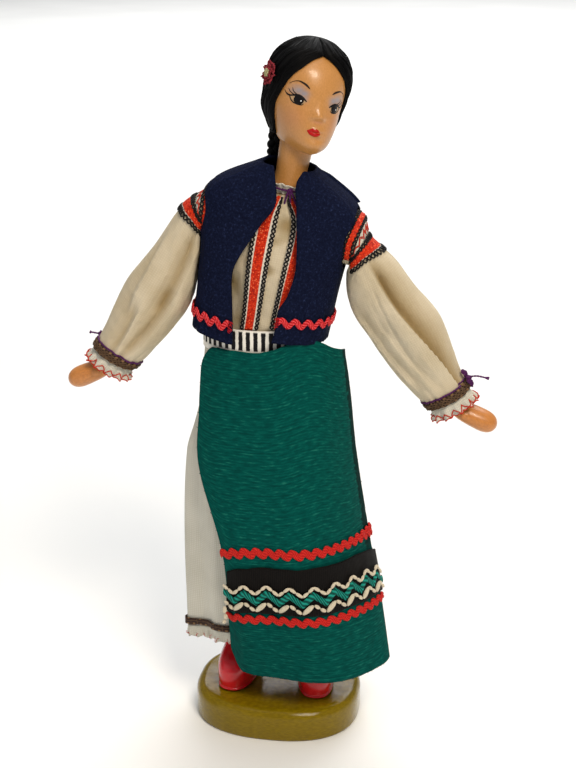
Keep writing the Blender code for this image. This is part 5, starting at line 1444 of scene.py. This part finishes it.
for k in range(STRANDS):
    t = abs(random.gauss(0, 0.012)) if k < EDGE_STRANDS else random.random()
    if k < EDGE_STRANDS and k % 2 == 0:
        t = 1 - t
    t = min(max(t, 0.001), 0.999)
    first = random.uniform(HAIR_LOW, 0.047)
    last = min(0.0560, first + random.uniform(0.008, 0.026))
    lift = random.uniform(0.0001, 0.0004)
    drift = random.uniform(-0.02, 0.02)
    strands.append([HEAD @ hair_point(min(max(t + drift * s * (1 - s), 0.0), 1.0),
        first + (last - first) * s, lift * sin(pi * (0.1 + 0.8 * s))) for s in steps(0, 1, 14)])
for k in range(16):
    t, reach = random.uniform(0.62, 0.97), random.uniform(0.002, 0.005)
    foot = HEAD @ hair_point(t, HAIR_LOW + 0.001, 0.0)
    out = (foot - HEAD.translation).normalized()
    strands.append([foot + out * 0.0006 * sin(3 * s) + Vector((0, 0, -reach * s))
        for s in steps(0, 1, 8)])
piece("hair_strands", tube_mesh(strands, 0.00013, 5), hair_silk, "head")

FLOWER_Z, FLOWER_TURN, FLOWER_RADIUS = 0.0172 + 0.67 * 0.0390, radians(188), 0.0048
flower_foot = HEAD @ head_point(FLOWER_TURN, FLOWER_Z, 0.0026)
flower_out = (HEAD.to_3x3() @ Vector((cos(FLOWER_TURN), sin(FLOWER_TURN), 0.05))).normalized()
flower_up = (HEAD.to_3x3() @ Vector((0, 0, 1)))
flower_up = (flower_up - flower_out * flower_up.dot(flower_out)).normalized()
flower_side = flower_up.cross(flower_out)
# Starched cloth: wine red, matt, paler where it is worn.
petal_cloth = grainy("wine-red flower cloth", {"Scale": 1500.0, "Detail": 4.0},
    [(0.3, "6E1A24"), (0.55, "92303A"), (0.8, "B4545A")],
    {"Roughness": 0.8, "Specular IOR Level": 0.15}, (0.4, 0.0003))
petal_meshes = []
for layer, (petals, size, rise) in enumerate(((7, 1.0, 0.0), (6, 0.72, 0.0007), (5, 0.48, 0.0012))):
    for k in range(petals):
        turn = tau * (k + 0.4 * layer) / petals
        rows = []
        for t in steps(0, 1, 8):
            wide = FLOWER_RADIUS * size * 0.52 * sin(pi * (0.12 + 0.80 * t)) ** 0.7
            row = []
            for w in steps(-1, 1, 6):
                ragged = 1 + 0.10 * noise.noise(Vector((k * 3.1 + w * 2.5, layer * 7.0, t)))
                reach = FLOWER_RADIUS * size * (0.1 + 0.9 * t) * ragged * (1 - 0.12 * w * w)
                at = turn + w * wide / max(reach, 0.0008) * 0.8
                curl = rise + 0.0011 * t * t * size + 0.0006 * sin(5 * w + 2 * k) * t
                row.append(flower_foot + (flower_side * cos(at) + flower_up * sin(at)) * reach
                           + flower_out * curl)
            rows.append(row)
        petal_meshes.append(grid_mesh(rows))
piece("cloth_petals", joined(petal_meshes), petal_cloth, "head", "flower_petals",
    (0.0003, 0))
# Thread knots: pale straw yellow and matt.
pollen = grainy("pale thread knots", {"Scale": 2500.0, "Detail": 2.0},
                [(0.3, "8E8860"), (0.7, "C4BE94")], {"Roughness": 0.8, "Specular IOR Level": 0.15})
knots = []
for k in range(19):
    reach, turn = 0.0016 * sqrt(k / 19), 2.4 * k
    knots.append((flower_foot + (flower_side * cos(turn) + flower_up * sin(turn)) * reach
        + flower_out * (0.0020 - 0.12 * reach), flower_side, flower_out, 0.00045, 0.00045))
piece("flower_knots", bead_mesh(knots), pollen, "head", "flower_centre")


# Braid. Three locks of the same hair, plaited from the nape down the doll's back.
# Its lower end lies on the vest.

BRAID_ROUTE = ((0.00, -0.0100, 0.0062, 0.0238), (0.12, -0.0094, 0.0098, 0.0146),
               (0.30, -0.0094, 0.0172, 0.0040), (0.50, -0.0095, 0.0206, -0.0065),
               (0.70, -0.0084, 0.0232, -0.0190), (0.85, -0.0078, 0.0246, -0.0300),
               (1.00, -0.0074, 0.0250, -0.0410))
BRAID_TURNS, LOCK_STEPS = 6.5, 150
neck_foot = LEAN @ Matrix.Translation((0.0, 0.0, NECK_Z))


def braid_way(t):
    return neck_foot @ Vector(along(BRAID_ROUTE, t))


def lock_line(k, spread):
    """Middle line of one of the three locks; spread widens the plait."""
    line = []
    for t in steps(0, 1, LOCK_STEPS):
        ahead = (braid_way(min(t + 0.01, 1.0)) - braid_way(max(t - 0.01, 0.0))).normalized()
        aside = (LEAN.to_3x3() @ Vector((1, 0, 0)))
        aside = (aside - ahead * aside.dot(ahead)).normalized()
        depth = ahead.cross(aside)
        turn = tau * (BRAID_TURNS * t + k / 3)
        taper = 1 - 0.45 * max(0.0, (t - 0.75) / 0.25)
        line.append(braid_way(t) + aside * (spread * 0.0016 * taper * sin(turn))
                    + depth * (spread * 0.0009 * taper * sin(2 * turn)))
    return line


locks = []
for k in range(3):
    rows = []
    for i, (p, lift, aside) in enumerate(frames(lock_line(k, 1.0))):
        t = i / LOCK_STEPS
        radius = 0.00165 * (1 - 0.5 * max(0.0, (t - 0.75) / 0.25)) * min(1.0, 0.5 + 5 * t)
        row = []
        for turn in turns(22):
            comb = 1 + 0.07 * noise.noise(Vector((2.6 * cos(turn + 3 * t), 2.6 * sin(turn + 3 * t),
                4 * t + 10 * k)))
            row.append(p + radius * comb * (cos(turn) * lift + sin(turn) * aside))
        rows.append(row)
    locks.append(grid_mesh(rows, closed=True, cap=True))
for k in range(26):
    t0 = random.uniform(0.05, 0.9)
    lock = lock_line(k % 3, 1.12)
    part = lock[int(LOCK_STEPS * t0):int(LOCK_STEPS * min(t0 + 0.1, 1.0)) + 1:2]
    out = random.uniform(0.0012, 0.0018)
    sway = Vector((random.uniform(-1, 1), random.uniform(0.2, 1),
        random.uniform(-0.3, 0.3))).normalized()
    if len(part) > 3:
        locks.append(tube_mesh([[p + sway * out * sin(pi * (0.2 + 0.6 * i / len(part)))
            for i, p in enumerate(part)]], 0.00010, 4))
braid = link("plaited_braid", joined(locks), hair_silk)
braid_way(0.12)
braid_way(0.70)
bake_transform(braid)
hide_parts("braid")


# Arms and sleeves. Each tan plastic arm ends in a mitten hand and turns on the shoulder plug.
# The full sleeve of cream cotton turns with it, gathered into the vest's armhole and at the wrist.

SHOULDER = {side: LEAN @ Matrix.Translation((sign * SHOULDER_X, 0.0, SHOULDER_Z))
            @ Matrix.Rotation(radians(-swing), 4, "X")
            for side, sign, swing in (("left", 1, 0.0), ("right", -1, 6.0))}
ARM_SPREAD = {"left": radians(40), "right": radians(20)}
ARM_LENGTH, ARM_ROOT = 0.0740, 0.0044
HAND_LENGTH, HAND_FLARE = 0.0210, radians(36)
HAND_HALF_WIDTH, HAND_HALF_THICK = 0.0052, 0.0038
SLEEVE_START, SLEEVE_ROOT = 0.0062, -0.0008
ELBOW_X, ELBOW_Z = SLEEVE_START + ARM_ROOT / 2, -0.0010
CUFF_AT = ARM_LENGTH - 0.0020
SLEEVE_NECK, SLEEVE_FULL, SLEEVE_CUFF, SLEEVE_SAG = 0.0099, 0.0108, 0.0084, 0.0042
SLEEVE_HEAD_END = 0.40
SLEEVE_SHAPE = ((0.0, 0.86 * SLEEVE_FULL), (0.30, 0.95 * SLEEVE_FULL), (0.60, SLEEVE_FULL),
                (0.85, 0.90 * SLEEVE_FULL), (1.0, SLEEVE_CUFF))
CUFF_BAND, CUFF_FRILL, FRILL_FLARE = 0.0036, 0.0055, 0.0022


def arm_place(angle, distance):
    return Vector((ELBOW_X + distance * sin(angle), 0.0, ELBOW_Z - distance * cos(angle)))


def place_on(side, point):
    """A point of the shoulder's frame, drawn for the left side, in the doll's frame."""
    sign = 1 if side == "left" else -1
    return SHOULDER[side] @ Vector((sign * point.x, point.y, point.z))


def sleeve_base(side, share, turn):
    angle = ARM_SPREAD[side]
    bulge = sin(pi * min(max(share, 0.0), 1.0))
    radius = along(SLEEVE_SHAPE, share)[0]
    middle = arm_place(angle, share * CUFF_AT)
    reach = radius * cos(turn) - SLEEVE_SAG * bulge
    square = middle + Vector((reach * cos(angle), radius * sin(turn), reach * sin(angle)))
    head = Vector((SLEEVE_START, SLEEVE_NECK * sin(turn), SLEEVE_NECK * cos(turn)))
    if share < 0:
        return head + Vector((share * CUFF_AT, 0.0, 0.0))
    point = head.lerp(square, 1 - (1 - min(1.0, share / SLEEVE_HEAD_END)) ** 2)
    point.x = max(point.x, SLEEVE_START)
    return point


# Main creases of each sleeve: turn in degrees at shares 0, 0.5 and 1, depth, first and last share
CREASES = {
    "left": ((-96, -62, -38, 0.0056, 0.14, 1.04), (-165, -140, -120, 0.0011, 0.25, 0.9),
             (-120, -104, -84, 0.0008, 0.45, 1.0), (60, 90, 70, 0.0012, 0.15, 0.95)),
    "right": ((-128, -122, -128, 0.0032, 0.10, 0.62), (-112, -126, -120, 0.0034, 0.44, 1.0),
              (-60, -70, -92, 0.0022, 0.58, 1.02), (-30, -52, -70, 0.0012, 0.20, 0.75),
              (70, 95, 80, 0.0012, 0.15, 0.95)),
}
CREASE_WIDE, CREASE_STEEP, CREASE_FADE = 34, 10, 0.12  # two in degrees, one as a share
PUFF = {"left": 0.0046, "right": 0.0036}
PUFF_AT, PUFF_REACH = 0.57, 0.26
# Under the trims the cloth lies close to the shoulder: depth, share and reach
SHOULDER_DENT = {"left": (0.0050, 0.11, 0.085), "right": (0.0026, 0.05, 0.065)}
INNER_FULL = {"left": 0.0032, "right": 0.0}  # slack toward the vest
INNER_AT, INNER_REACH, GATHERED_FROM = 0.28, 0.15, 0.80


def main_creases(side, share, turn):
    """Depth of the main creases, a steep fold beside a wide hollow."""
    depth = 0.0
    for start, middle, end, fall, first, last in CREASES[side]:
        if first < share < last:
            at = along(((0.0, start), (0.5, middle), (1.0, end)), share)[0]
            off = (degrees(turn) - at + 180) % 360 - 180
            fade = min(1.0, (share - first) / CREASE_FADE, (last - share) / CREASE_FADE)
            if off > 0:
                depth -= fall * fade * exp(-(off / CREASE_WIDE) ** 2) * min(1.0, off / CREASE_STEEP)
            else:
                depth += 0.30 * fall * fade * exp(-(off / CREASE_WIDE) ** 2)
    return depth


def sleeve_crease(side, share, turn):
    """Depth of the cloth's folds: soft wrinkles, the main creases and gathers at the cuff."""
    depth = 0.0005 * noise.noise(Vector((2.2 * cos(turn), 2.2 * sin(turn), 4.5 * share)))
    depth += 0.0002 * noise.noise(Vector((6 * cos(turn), 6 * sin(turn), 9 * share)))
    depth = depth * min(1.0, max(0.0, share) / 0.2) + main_creases(side, share, turn)
    depth += PUFF[side] * max(0.0, cos(turn)) ** 0.7 * exp(-((share - PUFF_AT) / PUFF_REACH) ** 2)
    fall, at, reach = SHOULDER_DENT[side]
    depth -= fall * max(0.0, cos(turn)) * exp(-((share - at) / reach) ** 2)
    depth += INNER_FULL[side] * max(0.0, -cos(turn)) * exp(-((share - INNER_AT) / INNER_REACH) ** 2)
    gather = max(0.0, (share - GATHERED_FROM) / (1 - GATHERED_FROM)) if share <= 1 else 1.0
    return depth * (1 - 0.6 * gather) + 0.00030 * gather * sin(15 * turn + 2 * sin(3 * turn))


def sleeve_cloth(side, share, turn, offset):
    step = 0.01
    around = sleeve_base(side, share, turn + step) - sleeve_base(side, share, turn - step)
    down = sleeve_base(side, share + step, turn) - sleeve_base(side, share - step, turn)
    outward = down.cross(around).normalized()
    return place_on(side, sleeve_base(side, share, turn) + outward
                    * (offset + sleeve_crease(side, share, turn)))


def limb_ring(side, middle, angle, thick, wide, count, wave=None):
    ring = []
    for i in range(count):
        turn = -tau * i / count if side == "left" else tau * i / count
        grow = wave(turn) if wave else 0.0
        ring.append(place_on(side, middle + Vector((
            (thick + grow) * cos(turn) * cos(angle), (wide + grow) * sin(turn),
            (thick + grow) * cos(turn) * sin(angle)))))
    return ring


# Hand rings: share of the hand's length, share of its flare, shares of thickness and width
HAND = ((0.04, 0.15, 0.98, 0.80), (0.16, 0.5, 0.94, 0.86), (0.28, 0.8, 1.02, 0.98),
    (0.40, 1.0, 1.10, 1.06), (0.52, 1.0, 1.14, 1.08), (0.64, 1.0, 1.18, 1.06),
    (0.76, 1.0, 1.18, 1.02), (0.86, 1.0, 1.06, 0.92), (0.93, 1.0, 0.84, 0.74),
    (0.98, 1.0, 0.52, 0.46), (1.0, 1.0, 0.16, 0.14))
# Arm rings: distance along the arm, share of the root's radius
ARM = ((-0.0022, 0.55), (0.0, 0.70), (0.014, 0.80), (0.028, 0.90), (0.044, 0.84), (0.060, 0.86),
       (0.068, 0.90), (0.072, 0.91))
THUMB = ((0.0, 0.5), (0.1, 0.85), (0.35, 1.0), (0.65, 0.92), (0.88, 0.7), (1.0, 0.2))
for side in ("left", "right"):
    angle = ARM_SPREAD[side]
    rings = []
    for place, size in ARM:
        rings.append(limb_ring(side, arm_place(angle, place), angle, size * ARM_ROOT,
            size * ARM_ROOT, 28))
    bend, before = arm_place(angle, ARM_LENGTH), 0.0
    for share, flare, thick, wide in HAND:
        turned = angle + flare * HAND_FLARE
        bend = bend + Vector((sin(turned), 0.0, -cos(turned))) * (share - before) * HAND_LENGTH
        before = share
        rings.append(limb_ring(side, bend, turned, HAND_HALF_THICK * thick, HAND_HALF_WIDTH * wide,
            28))
    hand_way = angle + HAND_FLARE
    ahead = Vector((sin(hand_way), 0.0, -cos(hand_way)))
    thumb_rings = []
    for t, size in THUMB:
        spot = arm_place(angle, ARM_LENGTH) + ahead * (0.0050 + 0.0085 * t)
        spot += Vector((-0.0016 * cos(hand_way), -0.0042 + 0.0012 * t, -0.0016 * sin(hand_way)))
        thumb_rings.append(limb_ring(side, spot, hand_way, 0.0021 * size, 0.0019 * size, 16))
    arm_mesh = joined([grid_mesh(part, closed=True, cap=True) for part in (rings, thumb_rings)])
    arm = piece("plastic_arm_" + side, arm_mesh, skin, "arm_" + side, "arm_" + side)
    smooth = arm.modifiers.new("smooth", "SUBSURF")
    smooth.levels = smooth.render_levels = 1


# Crease depth for full painted shade on the sleeves
SLEEVE_TURNS, SLEEVE_SHADE_DEPTH = 176, 0.0042


def sleeve_turn(side, j):
    """Turns that go round so that the cloth's faces look outward."""
    return tau * j / SLEEVE_TURNS * (-1 if side == "left" else 1)


for side in ("left", "right"):
    shares = [SLEEVE_ROOT / CUFF_AT - SLEEVE_START / CUFF_AT] + [-0.02 + 1.02 * i / 110
        for i in range(111)]
    rows = [[sleeve_cloth(side, share, sleeve_turn(side, j), COTTON) for j in range(SLEEVE_TURNS)]
            for share in shares]
    sleeve = piece("cotton_sleeve_" + side, grid_mesh(rows, closed=True), cream, "arm_" + side,
                   "sleeve_" + side, (0.0006, -1))
    # Painted shade in the sleeve's main creases
    paint_fold_shade(sleeve.data, [min(1.0, max(0.0,
        -main_creases(side, share, sleeve_turn(side, j)) / SLEEVE_SHADE_DEPTH)) for share in shares
        for j in range(SLEEVE_TURNS)])

# Shoulder trims: two speckled red ribbons between black chains, and a cream band with a red zigzag.
# They start at the vest's edge and follow the sleeve's outer side.
TRIM_TURN = radians(128)
ZIGZAG_PERIOD, ZIGZAG_HALF, STITCH = 0.0042, 0.0019, 0.0003
TRIM_SLANT = {"left": 0.034, "right": 0.022}  # share further down on the outer side


def across_sleeve(side, share):
    """Length round the sleeve's outer side at a share, and a placing function on it."""
    def slant(turn):
        return share + TRIM_SLANT[side] * max(0.0, cos(turn))

    length, turn_at = walker(lambda turn: sleeve_cloth(side, slant(turn), turn, COTTON),
        -TRIM_TURN if side == "left" else TRIM_TURN, TRIM_TURN if side == "left" else -TRIM_TURN,
        120)
    return length, lambda s, x, lift: sleeve_cloth(side, slant(turn_at(s)) + x / CUFF_AT,
        turn_at(s), COTTON + GAP + lift)


for side in ("left", "right"):
    for level, share, half in (("upper", -0.034, 0.0012), ("lower", 0.108, 0.0016)):
        length, place = across_sleeve(side, share)
        rows = [[place(length * t, half * w, 0.0) for w in steps(-1, 1, 6)]
            for t in steps(0, 1, 70)]
        strip = piece(f"sleeve_strip_{level}_{side}", grid_mesh(rows), ribbon, "arm_" + side,
            f"sleeve_ribbon_{level}_{side}", (0.0004, 0))
        for corner in strip.data.uv_layers.active.data:  # only the ribbon's red middle shows
            corner.uv.x += RIBBON_MM / 2 - 1000 * half
        lines = []
        for edge in (-half - 0.0007, half + 0.0007):
            lines += chain_lines(lambda s, x, lift: place(s, x, 0.0002 + lift), length, edge)
        piece(f"sleeve_chain_{level}_{side}", tube_mesh(lines, 0.00033, 5), crochet, "arm_" + side)
    length, place = across_sleeve(side, 0.036)
    rows = [[place(length * t, ZIGZAG_HALF * w, -0.0002) for w in steps(-1, 1, 6)]
            for t in steps(0, 1, 70)]
    piece("zigzag_band_" + side, grid_mesh(rows), cotton, "arm_" + side,
        "sleeve_zigzag_" + side, (0.0003, 0))
    lines = []
    for shift in (0.0, 0.0007):
        line = []
        for i in range(int(length / STITCH)):
            t = (STITCH * i / ZIGZAG_PERIOD) % 1.0
            line.append(place(STITCH * i, 0.0011 * (4 * abs(t - 0.5) - 1) + shift - 0.00035,
                0.0002))
        lines.append(line)
    piece("zigzag_thread_" + side, tube_mesh(lines, 0.00017, 5), picot, "arm_" + side)

# Cuffs: a brown ribbon with a tan chain pattern, a gathered white frill with a red zigzag along
# its edge, and a purple thread tied in a small bow with one long end.
# Embroidery cotton: tan and matt.
tan_cotton = grainy("tan embroidery cotton", {"Scale": 2200.0, "Detail": 2.0},
             [(0.3, "4E3A2A"), (0.7, "7A6048")], {"Roughness": 0.7, "Specular IOR Level": 0.15})
CUFF_LOOPS, FRILL_WAVES, FRILL_ZIGZAGS, FRILL_STITCHES = 18, 13, 15, 312
for side in ("left", "right"):
    sign = -1 if side == "left" else 1
    start = 1.0 - CUFF_BAND / CUFF_AT
    rows = [[sleeve_cloth(side, start + (1 - start) * i / 6, sleeve_turn(side, j),
        COTTON + GAP + 0.0003) for j in range(SLEEVE_TURNS)] for i in range(7)]
    piece("cuff_ribbon_" + side, grid_mesh(rows, closed=True), brown, "arm_" + side,
        "cuff_band_" + side, (0.0006, -1))
    lines = []
    for middle in (0.3, 0.7):
        for phase in (0.0, pi):
            lines.append([sleeve_cloth(
                side, start + (1 - start) * (middle + 0.14 * sin(CUFF_LOOPS * turn + phase)), turn,
                COTTON + GAP + 0.00045 + 0.0001 * cos(CUFF_LOOPS * turn + phase))
                for turn in (sign * tau * j / 288 for j in range(288))])
    piece("cuff_pattern_" + side, tube_mesh(lines, 0.0002, 4, True), tan_cotton, "arm_" + side)

    def frill_point(t, turn, offset):
        ruffle = 0.0011 * t * sin(FRILL_WAVES * turn + 1.3 * sin(2 * turn))
        radius = SLEEVE_CUFF - 0.0002 + FRILL_FLARE * t * (1.2 - 0.5 * t) + ruffle + offset
        middle = arm_place(ARM_SPREAD[side], CUFF_AT + GAP / 2 + CUFF_FRILL * t * (
            0.94 + 0.05 * cos(2 * FRILL_WAVES * turn)))
        return place_on(side, middle + Vector((
            radius * cos(turn) * cos(ARM_SPREAD[side]), radius * sin(turn),
            radius * cos(turn) * sin(ARM_SPREAD[side]))))

    rows = [[frill_point(i / 10, sign * tau * j / 260, 0.0) for j in range(260)]
            for i in range(11)]
    piece("cotton_frill_" + side, grid_mesh(rows, closed=True), cotton, "arm_" + side,
        "cuff_frill_" + side, (0.0004, -1))
    lines = [[], []]
    for j in range(FRILL_STITCHES):
        turn = sign * tau * j / FRILL_STITCHES
        t = (FRILL_ZIGZAGS * j / FRILL_STITCHES) % 1.0
        lines[0].append(frill_point(0.74 + 0.22 * (4 * abs(t - 0.5) - 1), turn, 0.00030))
        lines[1].append(frill_point(1.0, turn, 0.0))
    piece("frill_zigzag_" + side, tube_mesh(lines, 0.00023, 5, True), picot, "arm_" + side)


# Cuff ties. A twisted purple thread draws each cuff in above the brown ribbon.
# The left one ends in a small bow with a frayed end, the right one in a knot with a short end.
TIE_TURN = {"left": 0.0, "right": 0.25}
# Loops of the bow: place down the sleeve and to its front, half length
BOW = ((-0.0022, 0.0007, 0.0017), (0.0021, 0.0016, 0.0019), (0.0003, 0.0009, 0.0012))


def wound_loop(middle, first, second, third, sizes, phase):
    """A loop of thread wound over a small lump, its axes first, second and third."""
    return [middle + first * (sizes[0] * cos(a + phase)) + second * (sizes[1] * sin(a))
            + third * (sizes[2] * sin(2 * a + phase)) for a in steps(0, tau, 24)]


for side in ("left", "right"):
    share = 1.0 - CUFF_BAND / CUFF_AT - 0.008
    turn = TIE_TURN[side]
    ring = [sleeve_cloth(side, share, sleeve_turn(side, j), COTTON + GAP)
        for j in range(SLEEVE_TURNS)]
    lines = twist(ring + ring[:1], 0.00018, 0.9)
    foot = sleeve_cloth(side, share, turn, COTTON + 0.0008)
    out = (sleeve_cloth(side, share, turn, 0.004)
        - sleeve_cloth(side, share, turn, 0.0)).normalized()
    down = (sleeve_cloth(side, 1.0, turn, 0.002)
        - sleeve_cloth(side, 0.9, turn, 0.002)).normalized()
    down = (down - out * down.dot(out)).normalized()
    front = out.cross(down) * (-1 if side == "left" else 1)
    tips = []
    if side == "left":
        for k, (along_down, along_front, size) in enumerate(BOW):
            middle = foot + down * along_down + front * along_front + out * (0.0007 + 0.0003 * k)
            for wind in range(3):
                lines.append(wound_loop(middle + out * 0.0004 * wind, down, front, out,
                    (size * (1 - 0.18 * wind), 0.0011 - 0.0001 * wind, 0.0004), 0.5 * wind))
        tail = [foot + (out * 0.90 + down * 0.40 + front * 0.15) * (0.0075 * t)
                + Vector((0, 0, 0.0008 * sin(3 * t))) for t in steps(0, 1, 18)]
        lines += twist(tail, 0.00022, 0.8)
        tips.append((tail[-1], tail[-1] - tail[-2], 0.0022))
    else:
        for wind in range(4):
            lines.append(wound_loop(foot + out * (0.0003 + 0.0002 * wind), down, front, out,
                              (0.0010, 0.0009, 0.0004), 0.9 * wind))
        tail = [foot + (out * 0.80 + down * 0.42 - front * 0.1) * (0.0052 * t)
            for t in steps(0, 1, 12)]
        lines += twist(tail, 0.00022, 0.8)
        tips.append((tail[-1], tail[-1] - tail[-2], 0.0010))
    for tip, way, length in tips:
        way = way.normalized()
        side_way = way.orthogonal().normalized()
        for k in range(9):
            splay = side_way * cos(2.4 * k) + way.cross(side_way) * sin(2.4 * k)
            lines.append([tip + way * (length * t)
                + splay * (0.0006 * t * (0.4 + 0.6 * (k % 3) / 2)) for t in steps(0, 1, 5)])
    piece("cuff_thread_" + side, tube_mesh(lines, 0.00026, 6), purple, "arm_" + side,
        "cuff_tie_" + side)
